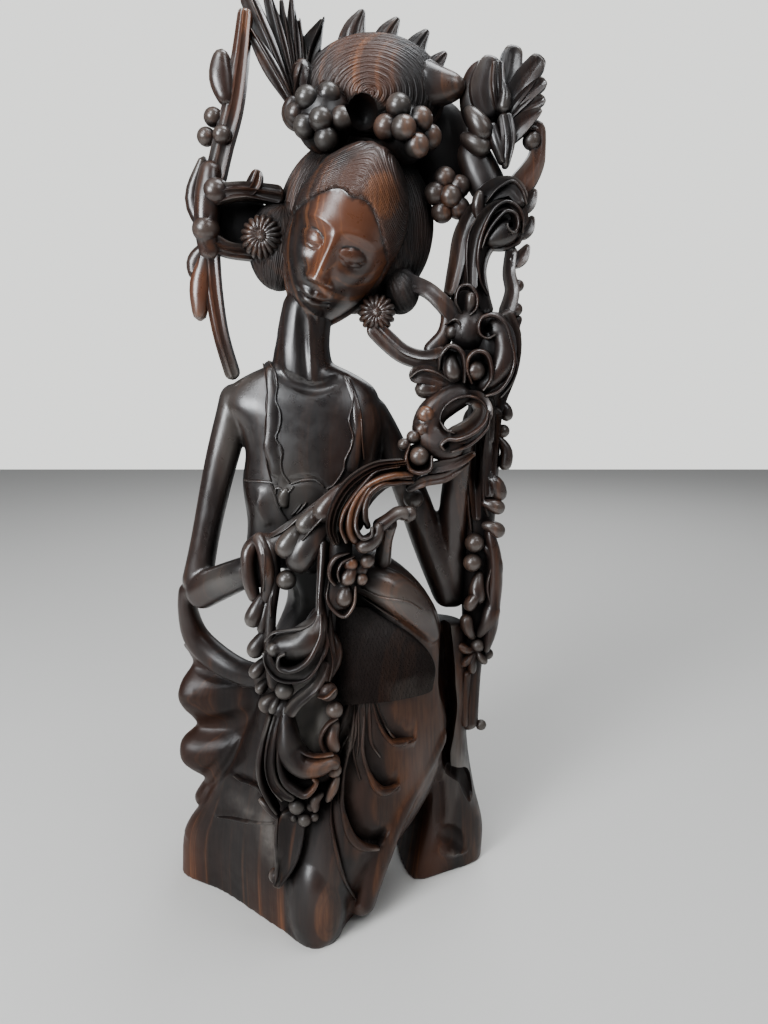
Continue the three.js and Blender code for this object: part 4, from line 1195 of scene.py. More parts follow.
strip(
    [
        [-19, -53, 135], [-20, -56, 124], [-21, -58, 115], [-20, -60, 107], [-17, -61, 100], [-12, -62, 96],
        [-7, -63, 94], [-3, -63, 97], [-1, -62, 101], [-3, -62, 104],
    ],
    [0.7, 1.0, 1.1, 1.4, 1.8, 2.3, 2.6, 2.2, 1.7, 1.1], 3.6, steps=80,
)
lip(
    [[-14, -50, 134], [-13, -55, 124], [-9, -59, 117], [-3, -61, 115], [3, -61, 115], [8, -59, 115]],
    0.8, 2.4,
)
lip([[-23, -52, 133], [-27, -57, 119], [-28, -59, 106], [-25, -60, 96], [-19, -61, 89]], 0.8, 2.4)
bead([8, -56, 104], 4.2)
leaf([10, -53, 100], [7, -56, 93], [4, -55, 86], 3, 4)
leaf([2, -56, 92], [-2, -58, 88], [-2, -57, 81], 3, 4)
bead([-12, -58, 84], 4.6)
bead([-4, -58, 84], 3)
bead([-8, -58, 76], 3.8)
bead([-14, -56, 76], 2.4)
bead([-3, -57, 77], 2.6)
strip([[-8, -52, 92], [-9, -53, 82], [-8, -53, 72]], [7, 8, 6], 5)
leaf([-33, -49, 84], [-28, -52, 80], [-22, -53, 74], 2.6, 4)
dish(
    [[-15, -52, 80], [-16, -54, 66], [-18, -55, 54], [-21, -54, 44], [-25, -52, 33]],
    [7.5, 8, 6.6, 4.6, 2.4], 6, 0.5, warm=0.8,
)
lip([[-23, -54, 76], [-24, -56, 64], [-23.5, -57, 53], [-24, -56, 43], [-26, -53, 34]], 1.5)
lip([[-8, -54, 74], [-10, -56, 63], [-13, -57, 52], [-18, -56, 42], [-24, -53, 33]], 1.3)
bead([-25, -52, 38], 4.4)

# %% The chain of leaves at her left
strip(
    [[102, 4, 350], [108, 8, 334], [107, 8, 318], [101, 9, 302], [95, 12, 284]],
    [4.6, 5.1, 5.2, 5.8, 6], 7, 1,
)
strip([[90, -2, 306], [91, 6, 292], [92, 12, 272]], [7, 8, 8], 8, 2)
strip(
    [
        [92, 14, 298], [92, 17, 262], [92, 19, 226], [93, 20, 190], [92, 18, 160], [89, 16, 140],
        [88, 14, 116], [88, 12, 94],
    ],
    [10, 12, 11, 10, 10, 8, 7, 6], [9, 9, 9, 9, 9, 8, 8, 7],
)
dish([[90, 7, 294], [88, 9, 262], [90, 11, 228]], [5, 5, 2.6], 6, 0.7)
dish([[99, 7, 296], [97, 9, 270], [97, 10, 242]], [5, 4.6, 3], 6, 0.6)
lip([[85, 6, 292], [84, 9, 265], [85, 10, 239], [87, 11, 221]], 1.1)
lip([[96, 4, 292], [93, 6, 274], [93, 8, 256], [94, 8, 240], [97, 9, 231]], 1.2)
for root, middle, tip, wide in [
    ([101, 12, 300], [106, 12, 294], [107, 12, 287], 3.6),
    ([101, 12, 279], [107, 12, 270], [106, 12, 258], 3.8),
    ([94, 11, 256], [101, 9, 251], [104, 11, 240], 4.6),
    ([92, 9, 240], [99, 7, 238], [106, 9, 235], 4.2),
    ([93, 9, 226], [99, 7, 225], [106, 9, 220], 4.4),
    ([94, 11, 214], [101, 9, 206], [102, 10, 192], 4.6),
    ([93, 11, 197], [91, 8, 188], [92, 9, 177], 5.0),
    ([94, 9, 186], [89, 6, 181], [85, 8, 174], 3.8),
    ([90, 9, 155], [86, 6, 162], [84, 8, 171], 3.8),
    ([92, 9, 156], [98, 7, 166], [102, 10, 178], 5.0),
    ([91, 9, 148], [85, 7, 149], [80, 9, 152], 3.0),
    ([91, 9, 147], [86, 7, 142], [82, 9, 139], 2.8),
    ([91, 9, 147], [89, 7, 141], [89, 9, 134], 2.8),
    ([92, 9, 148], [94, 7, 144], [97, 9, 141], 2.6),
]:
    petal(root, middle, tip, wide, 5)
strip(
    [[97, 13, 224], [101, 12, 208], [102, 12, 194], [101, 12, 176], [100, 12, 160], [97, 13, 146]],
    [3, 4.4, 5, 5, 4.4, 2.4], 8,
)
lip([[99, 8, 200], [97, 7, 188], [99, 8, 178]], 1.0)
for place, radius in [
    ([104.6, 11.2, 281.4], 4),
    ([89, 8, 215], 5.8),
    ([88, 8, 203], 5.6),
    ([92, 7, 151], 4.2),
    ([99, 12, 144], 3.6),
    ([96, 12, 97], 3.4),
]:
    bead(place, radius)
strip([[86, 9, 136], [84, 9, 116], [85, 9, 98]], [3, 4, 3], 6)

# %% The hatched end of the sash across her lap
panel = mass(
    [
        [136, [[10, -44], [26, -43], [44, -38], [62, -26], [60, -10], [20, -20]]],
        [147, [[10, -43], [26, -42], [44, -36], [64, -23], [60, -8], [20, -18]]],
        [168, [[9, -39], [24, -39], [40, -35], [52, -28], [44, -10], [18, -16]]],
        [188, [[9, -34], [14, -35], [20, -34], [26, -32], [22, -14], [12, -16]]],
    ],
    sides=60,
    rows=40,
)
carve(panel, 0.0, finish=HATCHED)

# %% [markdown]
# ## Fold crests and seams
# The gouge strokes gave the skirt its hollows. The crest of a fold is a sharp, rubbed edge that catches
# the light, so it is laid on the skin as a thin strip. To lie on the skin it needs the skin's depth at
# each x, z, which is read from a chart of the nearest point in every cell of a front view.


# %% Lines laid on the front of the skin
def front_chart(places, cell):
    """The nearest y in every square cell of a front view, with each place's row and column in it. A
    cell that holds nothing is as far as the block's back."""
    column = np.round((places[:, 0] - LOWEST[0]) / cell).astype(int)
    row = np.round((places[:, 2] - LOWEST[2]) / cell).astype(int)
    chart = np.full((row.max() + 1, column.max() + 1), HIGHEST[1])
    np.minimum.at(chart, (row, column), places[:, 1])
    return chart, row, column


LAYING_CELL = 2.0  # mm
skin_chart, _, _ = front_chart(skin_places, LAYING_CELL)


def laid(points, sunk=0.5, count=16):
    """A smooth line through x, z points, lying on the skin's front or sunk into it a little."""
    line, _, _ = walk([[x, 0.0, z] for x, z in points], np.linspace(0, 1, count))
    column = np.round((line[:, 0] - LOWEST[0]) / LAYING_CELL).astype(int)
    row = np.round((line[:, 2] - LOWEST[2]) / LAYING_CELL).astype(int)
    depth = skin_chart[row, column]
    found = np.flatnonzero(depth < HIGHEST[1])
    depth = np.interp(np.arange(count), found, depth[found])
    depth[1:-1] = (depth[:-2] + depth[1:-1] + depth[2:]) / 3
    line[:, 1] = depth + sunk
    return line


for fold, wide in [(LONG_FOLD, 1.7), (MIDDLE_FOLD, 1.6), (SHORT_FOLD, 1.4)]:
    widths = [0.5, wide * 0.6, wide * 0.7, wide * 0.8, wide * 1.5, wide * 0.5]
    strip(laid(fold), widths, [1.2, 1.8, 2.0, 2.2, 3.0, 2.0], steps=70)
for line, wide in [
    ([[17, 139], [14, 130], [8, 116]], 1.7),
    ([[15, 118], [12, 112], [9, 106]], 0.9),
    ([[23, 138], [20, 129], [19, 117], [15, 107], [12, 99], [10, 91], [10, 82]], 1.0),
    ([[19, 118], [18, 108], [20, 99], [22, 93]], 0.9),
    ([[27, 138], [27, 124], [28, 112], [33, 103]], 1.2),
    ([[30, 138], [33, 127], [37, 117], [41, 111]], 0.8),
    ([[21, 136], [21, 124], [21, 114], [20, 106]], 0.7),
    ([[12, 112], [9, 104], [6, 97]], 0.7),
    ([[7, 94], [6, 75], [9, 57], [13, 39], [19, 20]], 1.0),
    ([[-55, 76], [-46, 77], [-38, 78], [-32, 71]], 0.8),
    ([[-66, 48], [-46, 56], [-27, 64]], 0.9),
    ([[23, 200], [31, 196], [39, 194], [48, 192], [56, 186]], 0.7),
    ([[24, 193], [33, 187], [43, 180]], 0.7),
]:
    strip(laid(line, 0.8), [0.4, wide, wide, 0.5], 1.9, steps=40)

# %% The bodice and the belt
RIGHT_EDGE = [
    [-29, 321], [-25, 315], [-23.7, 308], [-24.4, 300], [-21.8, 293], [-22.4, 285], [-24.6, 279.5],
    [-21.2, 273], [-22, 265], [-21, 260], [-17, 254],
]
RIGHT_BACK = [
    [-32, 320], [-30.5, 313], [-29.3, 304], [-29, 297], [-30.3, 287], [-30.6, 278], [-30.3, 267],
    [-29, 260], [-26, 249],
]
LEFT_EDGE = [
    [13, 313], [18, 304], [17.5, 297], [15.8, 289], [18, 280], [16.7, 274], [13.4, 267], [12.7, 262],
    [6.5, 253], [2.6, 251],
]
LEFT_BACK = [[15, 312], [20, 301], [22.3, 291], [23, 278], [24, 267]]


def between(one, other):
    """The points half way between those of two lines."""
    return [((np.array(a) + np.array(b)) / 2).tolist() for a, b in zip(one, other)]


strip(laid(between(RIGHT_EDGE[:9], RIGHT_BACK), 0.7, 30), [2.4, 2.6, 3.4, 4.0, 4.2, 4.2, 3.6], 1.5, steps=60)
strip(laid(between(LEFT_EDGE[::2], LEFT_BACK), 0.7, 30), [2.0, 2.4, 2.6, 3.0, 4.2, 4.6], 1.5, steps=60)
for line, wide in [(RIGHT_EDGE, 0.75), (RIGHT_BACK, 0.5), (LEFT_EDGE, 0.75), (LEFT_BACK, 0.5)]:
    strip(laid(line, 0.5, 30), wide, 1.7, warm=0.3, steps=80)
for line in [
    [[-44, 255], [-30, 255], [-24, 254]],
    [[-17, 254], [-10, 256], [-3, 256], [2, 252]],
    [[3, 252], [10, 253], [16, 258]],
    [[-29, 256], [-26.6, 249.6], [-23.5, 240], [-19, 233]],
    [[-15, 253], [-20.5, 246], [-23.4, 240]],
    [[-25.4, 248], [-25, 251.5], [-22, 251], [-22.5, 248.4]],
    [[-11, 243], [-14, 239], [-17, 236]],
    [[-8, 244], [-11, 240], [-14, 237]],
    [[3.4, 251], [4.6, 248.6], [2.6, 247.6], [1.6, 249.4]],
]:
    strip(laid(line, 0.5), [0.4, 0.9, 0.9, 0.5], 1.7, warm=0.3, steps=40)
strip(laid([[-19, 252], [-21, 246], [-20, 240]], 1.0), [2, 3.6, 2], 3.2, steps=24)

# %% [markdown]
# ## Joining everything into one block
# The figure is one piece of wood, so the ornament is joined to the body with a Boolean that throws away
# whatever lies inside. Overlapping meshes would look the same from outside, but they would be many
# shells, and the crevices between them could not be found for the dust.


# %% One block
def with_ornaments(thing, operation):
    """The object after a Boolean with every form among the ornaments, which are used up by it."""
    joint = thing.modifiers.new("joint", "BOOLEAN")
    joint.operation = operation
    joint.operand_type = "COLLECTION"
    joint.collection = ornaments
    joint.solver = "MANIFOLD"
    result = applied(thing, "carved_goddess")
    for form in list(ornaments.objects):
        bpy.data.objects.remove(form)
    return result


foot_is_warmer = 0.1 + 0.3 * rise(-skin_places[:, 2], -50, -5)
ready_for_finishes(core.data, foot_is_warmer, np.zeros(len(core.data.vertices)))
bpy.context.scene.collection.children.link(ornaments)
goddess = with_ornaments(core, "UNION")
print(len(goddess.data.polygons), "faces in one block")

# %% The dark pocket between the fruit, the eyes of the scrolls and the gap of the train
for centre, half in [
    ([23.5, -9, 449], [9.5, 15, 10]),
    ([88.5, 6, 262], [2.6, 5, 15]),
    ([-18.6, -59, 169.5], [1.7, 5, 2.3]),
    ([-4, -60, 101.5], [2.4, 6, 2.0]),
    ([24.4, -50, 235.5], [1.8, 6, 3.4]),
    ([91.5, -13, 338.5], [2.4, 5, 2.6]),
    ([103.5, -3, 393.5], [1.6, 4, 1.8]),
    ([68.5, -21, 276], [1.6, 5, 1.6]),
]:
    carve(lump(centre, half, 24, 14))
strip(
    [[72, -2, 170], [72, -4, 150], [73, -5, 130], [76, -4, 113], [75, -4, 98], [73, -4, 86], [74, -3, 74]],
    [3, 5, 6, 5, 3.2, 3, 2.6], [16, 20, 22, 20, 16, 14, 12],
)
strip(
    [[73, -2, 76], [79, -3, 71], [85, -1, 66], [89, 2, 57], [92, 6, 44]],
    [2.6, 4, 5, 5, 2.4], [12, 14, 16, 16, 10],
)
goddess = with_ornaments(goddess, "DIFFERENCE")
bpy.data.collections.remove(ornaments)
print(len(goddess.data.polygons), "faces with the hollows")

# %% Fewer faces where the wood is smooth
MOST_TRIANGLES = 190_000
goddess.data.calc_loop_triangles()
made = len(goddess.data.loop_triangles)
fewer = goddess.modifiers.new("fewer faces", "DECIMATE")
fewer.ratio = min(1, MOST_TRIANGLES / made)
goddess = applied(goddess, "carved_goddess")
print(made, "triangles before,", len(goddess.data.polygons), "faces after")

# %% [markdown]
# ## Cleaning the joints
# Where two forms meet at a shallow angle the Boolean leaves needle-thin faces, and a cut can set a
# chip free. A carver brushes such chips off. Here the tiny edges are welded, a fin, which is a face
# that stands on an edge which two others already share, is taken off, the slits that are left are
# filled, and every island of faces but the largest is removed.

# %% Welded, filled and brushed off
SHORTEST_EDGE = 0.12 * MM
FIN_ROUNDS = 3  # taking one fin off can bare another
WIDEST_SLIT = 12  # sides


def off_the_block(mesh):
    """True for each point that isn't connected with the largest island: every point takes the lowest
    number among its neighbours again and again, until an island has one number."""
    edges = np.empty(len(mesh.edges) * 2, np.int32)
    mesh.edges.foreach_get("vertices", edges)
    one, other = edges.reshape(-1, 2).T
    label = np.arange(len(mesh.vertices))
    while True:
        lower = np.minimum(label[one], label[other])
        spreading = label.copy()
        np.minimum.at(spreading, one, lower)
        np.minimum.at(spreading, other, lower)
        spreading = spreading[spreading]
        if (spreading == label).all():
            return label != np.bincount(label).argmax()
        label = spreading


def is_fin(face):
    """True where one of its edges is shared by more than two faces, and another by none."""
    shared = [len(edge.link_faces) for edge in face.edges]
    return max(shared) > 2 and min(shared) < 2


mesh = goddess.data
block = bmesh.new()
block.from_mesh(mesh)
before = len(block.verts)
bmesh.ops.remove_doubles(block, verts=block.verts, dist=SHORTEST_EDGE)
print(before - len(block.verts), "points welded")
for _ in range(FIN_ROUNDS):
    fins = [face for face in block.faces if is_fin(face)]
    bmesh.ops.delete(block, geom=fins, context="FACES")
slits = [edge for edge in block.edges if edge.is_boundary]
bmesh.ops.holes_fill(block, edges=slits, sides=WIDEST_SLIT)
block.to_mesh(mesh)
note(mesh, "chip", off_the_block(mesh))
block.clear()
block.from_mesh(mesh)
chip = block.verts.layers.float["chip"]
chips = [point for point in block.verts if point[chip] > 0.5]
bmesh.ops.delete(block, geom=chips, context="VERTS")
block.verts.layers.float.remove(chip)
block.to_mesh(mesh)
block.free()
print(len(slits), "open edges filled,", len(chips), "points of chips taken off")
print("something was still wrong with the mesh:", mesh.validate())

# %% [markdown]
# ## Where dust settles, where hands have rubbed, and where shade and sheen are painted
# Wax and dust stay where a cloth can't reach. A point lies in a hollow when its neighbours stand above
# its own tangent plane. That could be left to a shader's ambient occlusion, but the exported model
# would lose it, so it is worked out once for each point and smoothed along the edges.

# %% Hollows of the surface
SHARP_FROM = math.radians(42)
mesh.polygons.foreach_set("use_smooth", np.ones(len(mesh.polygons), bool))
mesh.set_sharp_from_angle(angle=SHARP_FROM)
places = np.clip(read_points(mesh, "co"), LOWEST * MM, HIGHEST * MM)
mesh.vertices.foreach_set("co", places.astype(np.float32).ravel())
normals = read_points(mesh, "normal")
edges = np.empty(len(mesh.edges) * 2, np.int32)
mesh.edges.foreach_get("vertices", edges)
start, end = edges.reshape(-1, 2).T
ends_met = np.maximum(np.bincount(start, minlength=len(places)) + np.bincount(end, minlength=len(places)), 1)


def neighbour_mean(value):
    """Each point's mean of a value that every edge gives to its two ends."""
    total = np.bincount(start, value[0], len(places)) + np.bincount(end, value[1], len(places))
    return total / ends_met


def smoothed(value, times):
    """A value after each point has moved half way to its neighbours' mean, again and again."""
    for _ in range(times):
        value = 0.5 * value + 0.5 * neighbour_mean((value[end], value[start]))
    return value


reach = places[end] - places[start]
length = np.linalg.norm(reach, axis=1) + 1e-9
rise_to_end = (normals[start] * reach).sum(axis=1)
rise_to_start = -(normals[end] * reach).sum(axis=1)
hollow = neighbour_mean((rise_to_end, rise_to_start)) / neighbour_mean((length, length))
hollow = smoothed(hollow, 5)
print("hollow", np.round(np.percentile(hollow, [5, 50, 95]), 3))

# %% [markdown]
# Hollows between leaves are one thing, and ground that lies deep behind them is another: it is found by
# comparing each point with the mean of the nearest surface around it, seen from the front. A few places
# are listed where the carving is dustier than its form alone would make it. The two in the folds behind
# the lowest scrolls are painted light: they make the wood pale there, though the scrolls shade it. Each
# is an oval seen from the front, on what lies behind a given depth.

# %% Dust
FRONT_CELL = 1.5  # mm
AROUND = 4  # cells to each side of a point
on_front = rise(-normals[:, 1], -0.3, 0.5)
across, deep, up = (places / MM).T
nearest, row, column = front_chart(places / MM, FRONT_CELL)


def blurred(chart, radius):
    """A square running mean of a chart, first down its columns and then along its rows."""
    for axis in (0, 1):
        total = np.cumsum(np.insert(chart, 0, 0, axis=axis), axis=axis)
        count = chart.shape[axis]
        low = np.clip(np.arange(count) - radius, 0, count)
        high = np.clip(np.arange(count) + radius + 1, 0, count)
        means = np.take(total, high, axis=axis) - np.take(total, low, axis=axis)
        chart = means / (high - low).reshape((-1, 1) if axis == 0 else (1, -1))
    return chart


def spot(x, z, wide, high):
    """A soft oval seen from the front, 1 in its middle: the product of a bell across and a bell up."""
    return bump((across - x) / wide) * bump((up - z) / high)


behind = deep - blurred(nearest, AROUND)[row, column]
dust_and_painted_light = np.clip((hollow - 0.04) * 3.6, 0, 1) * 0.35 + rise(behind, 1, 9) * on_front * 0.1
# The first two ovals are painted light: they pale the folds behind the lowest scrolls, which the scrolls
# shade.
for x, z, wide, high, behind_this, amount in [
    (-7, 127, 9, 19, -51, 1.3),
    (-9, 158, 11, 8, -60, 0.6),
    (-30, 52, 7, 14, -60, 0.5),
    (-14, 184, 14, 4, -60, 0.6),
    (-8, 112, 10, 4, -60, 0.3),
    (44, 246, 8, 8, -60, 0.4),
    (-45, 62, 16, 6, -60, 0.3),
]:
    dust_and_painted_light += amount * spot(x, z, wide, high) * (normals[:, 1] < 0) * (deep > behind_this)
dust_and_painted_light = np.clip(dust_and_painted_light, 0, 1)
note(mesh, "dust_and_painted_light", dust_and_painted_light)
print("dust on", round(float((dust_and_painted_light > 0.3).mean()) * 100), "% of the points")

# %% [markdown]
# Deep in the openwork little light arrives, whatever lamps there are. So each point looks out in
# directions spread evenly over a ball, and counts how many of them meet wood within a few centimetres.
# The wood is a coarse block model, filled wherever a cell holds a point of the surface. The value
# darkens the colour later on, so it is a painted shade, which stays however the model is lit. Three
# places are listed: the lap under the big scroll is painted darker, and two hollows of the garland are
# painted lighter, as if light reached into them.

# %% Shelter
SHELTER_CELL = 2.5  # mm
BORDER = 24  # cells of open air kept around the carving
LOOKS = 26
GOLDEN_ANGLE = 2.399963  # radians from one look to the next
LOOK_STEPS = (6, 9, 12, 16, 20, 25, 30, 36, 42)  # mm
cell_of = np.round((places / MM - LOWEST) / SHELTER_CELL).astype(int) + BORDER
solid = np.zeros(cell_of.max(axis=0) + BORDER + 1, bool)
solid[tuple(cell_of.T)] = True
angles = np.arange(LOOKS) * GOLDEN_ANGLE
heights = (np.arange(LOOKS) + 0.5) / (LOOKS / 2) - 1
level = np.sqrt(1 - heights**2)
blocked = np.zeros(len(places))
counted = np.zeros(len(places))
for look in np.stack([level * np.cos(angles), level * np.sin(angles), heights], axis=1):
    weight = np.clip(normals @ look - 0.25, 0, 1)
    met = np.zeros(len(places), bool)
    for step in LOOK_STEPS:
        there = np.round((places / MM + look * step - LOWEST) / SHELTER_CELL).astype(int) + BORDER
        met |= solid[tuple(there.T)]
    blocked += weight * met
    counted += weight
sheltered = smoothed(blocked / np.maximum(counted, 1e-6), 10)
# Painted shade is added on the lap under the big scroll and taken away in two hollows of the garland, which
# is painted light there.
for x, z, wide, high, behind_this, amount in [
    (-10, 190, 20, 26, -32, 0.9),
    (-7, 127, 10, 20, -60, -0.8),
    (-9, 158, 11, 8, -40, -0.8),
]:
    front_half = (normals[:, 1] < 0.2) * (deep < 12)
    sheltered = sheltered + amount * spot(x, z, wide, high) * (deep > behind_this) * front_half
sheltered = np.clip(sheltered, 0, 1)
note(mesh, "sheltered", sheltered)
print("sheltered", np.round(np.percentile(sheltered, [5, 25, 50, 75, 95]), 2))

# %% [markdown]
# Hands and cloths rub what stands out, so crests are a little paler, and that paleness is also a
# painted highlight along the crests. The broad smooth places, such as the belly, the thigh and the
# arm, are given a painted sheen in the same pale colour, one listed oval each. Polish rises from the
# foot, where nobody rubs, to the waist.

# %% Wear, painted sheen and polish
wear_and_sheen = np.clip(-hollow * 3.4 - 0.22, 0, 1) * rise(-normals[:, 1], -0.3, 0.4)
# Painted sheen: the pale colour is laid as an oval on the belly, the thigh, the arm, the forearm, a shoulder
# and the fan of folds, and the last oval is painted light in the hollow behind the lowest scrolls.
for x, z, wide, high, behind_this, amount in [
    (-16, 246, 12, 22, -60, 0.3),
    (42, 195, 22, 11, -60, 0.3),
    (-53, 278, 6, 34, -60, 0.3),
    (-58, 202, 12, 7, -60, 0.25),
    (-43, 314, 10, 9, -60, 0.3),
    (15, 114, 9, 20, -60, 0.3),
    (-7, 127, 10, 19, -51, 1.0),
]:
    wear_and_sheen += amount * spot(x, z, wide, high) * rise(-normals[:, 1], -0.1, 0.5) * (deep > behind_this)
wear_and_sheen = np.clip(wear_and_sheen, 0, 1)
polish = 0.1 + 0.9 * rise(up, 110, 230) + 0.8 * wear_and_sheen
for x, z, wide, high, amount in [(40, 192, 30, 16, 1.4), (-2, 40, 12, 22, 0.5), (56, 92, 10, 22, 0.5)]:
    polish += amount * spot(x, z, wide, high)
note(mesh, "wear_and_sheen", wear_and_sheen)
note(mesh, "polish", np.clip(polish, 0, 1))
print("worn on", round(float((wear_and_sheen > 0.3).mean()) * 100), "% of the points")

# %% [markdown]
# ## The wood
# Makassar ebony is nearly black, with brown and orange streaks along the grain. The carver planed and
# scraped it, and rubbed it with oil or wax, so that it has a soft shine under a thin film. The streaks are
# growth rings, so they are drawn as rings in space about an axis beside and behind the figure: on a
# round form such as the face they then close into contours, as in real wood. A picture of wood wrapped
# on the surface could never do that.

# %% Colours, and one function for any node
NEAR_BLACK = "#0d0a0a"
DARK_BROWN = "#1d1614"
WARM_BROWN = "#5d3622"
ORANGE_STREAK = "#a0643a"
# the colour of dust, which also paints light on two patches behind the lowest scrolls
DUST = "#8a857f"
# the pale colour of wear, also laid on as painted sheen
RUBBED_AND_SHEEN = "#8d857c"
UNLIT = "#050404"
PAPER = "#d8d6d2"
SKYLIGHT = "#dfe5ec"
BACKDROP = "#d9dad7"


def linear(hex_colour):
    """An sRGB hex colour as linear red, green, blue and full alpha."""
    value = np.array([int(hex_colour[i : i + 2], 16) / 255 for i in (1, 3, 5)])
    return (*np.where(value <= 0.04045, value / 12.92, ((value + 0.055) / 1.055) ** 2.4), 1.0)


def node(tree, kind, inputs=None, **settings):
    """Adds one node, with its settings, and fills its inputs with values or other nodes' outputs."""
    made = tree.nodes.new(kind)
    for field, value in settings.items():
        setattr(made, field, value)
    for key, value in (inputs or {}).items():
        if isinstance(value, bpy.types.NodeSocket):
            tree.links.new(value, made.inputs[key])
        else:
            made.inputs[key].default_value = value
    return made


# %% Streaked ebony
RING_AXIS = (-0.14, 0.19, 0.0)  # metres, where the heart of the log stood
RING_WIDTH = 7.0  # mm, but no two years are alike
RING_SWAY = 9.0  # mm that a ring wanders
SWAYS = 30.0  # in a metre across the trunk
GRAIN_STRETCH = 0.09  # the pattern is eleven times longer along the trunk
FIBRE = 2.2  # mm across, a real pore is a tenth of that, but would not show
PATCH = 38.0  # mm across
MOTTLE = 6.25  # mm across, the cloudiness that handling leaves
ROUGH_FROM = 0.4  # a finish rougher than this holds no film of wax
A, B, RESULT = 6, 7, 2  # sockets of a colour mix


def streaked_wood(tree, place, grain, fibres):
    """Near black to brown by fibres, and orange where rings, patches and the warm value meet."""
    turned = {"Location": tuple(-v for v in RING_AXIS), "Scale": (1, 1, 0.16), "Rotation": (0, 0.04, 0)}
    about_axis = node(tree, "ShaderNodeMapping", {"Vector": place, **turned}).outputs[0]
    from_axis = node(tree, "ShaderNodeVectorMath", {0: about_axis}, operation="LENGTH").outputs["Value"]
    sway = node(tree, "ShaderNodeTexNoise", {"Vector": grain, "Scale": SWAYS, "Detail": 2.0}).outputs["Fac"]
    sway = node(tree, "ShaderNodeMath", {0: sway, 1: RING_SWAY * MM}, operation="MULTIPLY").outputs[0]
    ring_place = node(tree, "ShaderNodeMath", {0: from_axis, 1: sway}, operation="ADD").outputs[0]
    year = {"W": ring_place, "Scale": 1 / (RING_WIDTH * MM), "Detail": 4.0, "Roughness": 0.62}
    rings = node(tree, "ShaderNodeTexNoise", year, noise_dimensions="1D").outputs["Fac"]
    wide = {"Vector": grain, "Scale": 1 / (PATCH * MM), "Detail": 2.0}
    patches = node(tree, "ShaderNodeTexNoise", wide).outputs["Fac"]
    warm = node(tree, "ShaderNodeAttribute", attribute_name="warm").outputs["Fac"]

    soft = {"interpolation_type": "SMOOTHSTEP"}
    band = node(tree, "ShaderNodeMapRange", {0: rings, 1: 0.52, 2: 0.70}, **soft).outputs[0]
    patch = node(tree, "ShaderNodeMapRange", {0: patches, 1: 0.40, 2: 0.62}, **soft).outputs[0]
    thread = node(tree, "ShaderNodeMapRange", {0: fibres, 1: 0.35, 2: 0.68, 3: 0.35, 4: 1.0}).outputs[0]
    warmth = node(tree, "ShaderNodeMapRange", {0: warm, 1: 0.0, 2: 1.0, 3: 0.06, 4: 1.0}).outputs[0]
    patchy = node(tree, "ShaderNodeMapRange", {0: patch, 3: 0.25, 4: 1.0}).outputs[0]
    streak = band
    for share in (thread, warmth, patchy):
        streak = node(tree, "ShaderNodeMath", {0: streak, 1: share}, operation="MULTIPLY").outputs[0]
    browning = node(tree, "ShaderNodeMath", {0: patch, 1: warmth}, operation="MULTIPLY").outputs[0]
    colour = linear(NEAR_BLACK)
    for share, tone in [(thread, DARK_BROWN), (browning, WARM_BROWN), (streak, ORANGE_STREAK)]:
        mix = {0: share, A: colour, B: linear(tone)}
        colour = node(tree, "ShaderNodeMix", mix, data_type="RGBA").outputs[RESULT]
    return colour


def dust_sheen_and_shade(tree, colour, mottle, dusty, dim):
    """The colour with dirt and some painted light laid on, paler for wear and painted sheen, and nearly
    black where it is shut in, which is painted shade, with the shares of dirt and gloom that the shine
    needs."""
    given = {}
    for name in ("dust_and_painted_light", "sheltered", "wear_and_sheen"):
        given[name] = node(tree, "ShaderNodeAttribute", attribute_name=name).outputs["Fac"]
    spotty = node(tree, "ShaderNodeMapRange", {0: mottle, 1: 0.35, 2: 0.65, 3: 0.45, 4: 1.0}).outputs[0]
    powder_and_light = node(tree, "ShaderNodeMath", {0: given["dust_and_painted_light"], 1: spotty}, operation="MULTIPLY").outputs[0]
    powder_and_light = node(tree, "ShaderNodeMapRange", {0: powder_and_light, 1: 0.05, 2: 0.8, 3: 0.0, 4: dusty}).outputs[0]
    # The pale colour is laid on for wear and as painted sheen, the grey for dirt and in two patches as
    # painted light, and near black as painted shade where the wood is sheltered.
    rubbed_and_sheen = node(tree, "ShaderNodeMapRange", {0: given["wear_and_sheen"], 1: 0.0, 2: 1.0, 3: 0.0, 4: 0.55}).outputs[0]
    shut_in = {0: given["sheltered"], 1: 0.2, 2: 0.7, 3: dim, 4: 0.95}
    gloom = node(tree, "ShaderNodeMapRange", shut_in).outputs[0]
    for share, tone in [(powder_and_light, DUST), (rubbed_and_sheen, RUBBED_AND_SHEEN), (gloom, UNLIT)]:
        mix = {0: share, A: colour, B: linear(tone)}
        colour = node(tree, "ShaderNodeMix", mix, data_type="RGBA").outputs[RESULT]
    return colour, powder_and_light, gloom


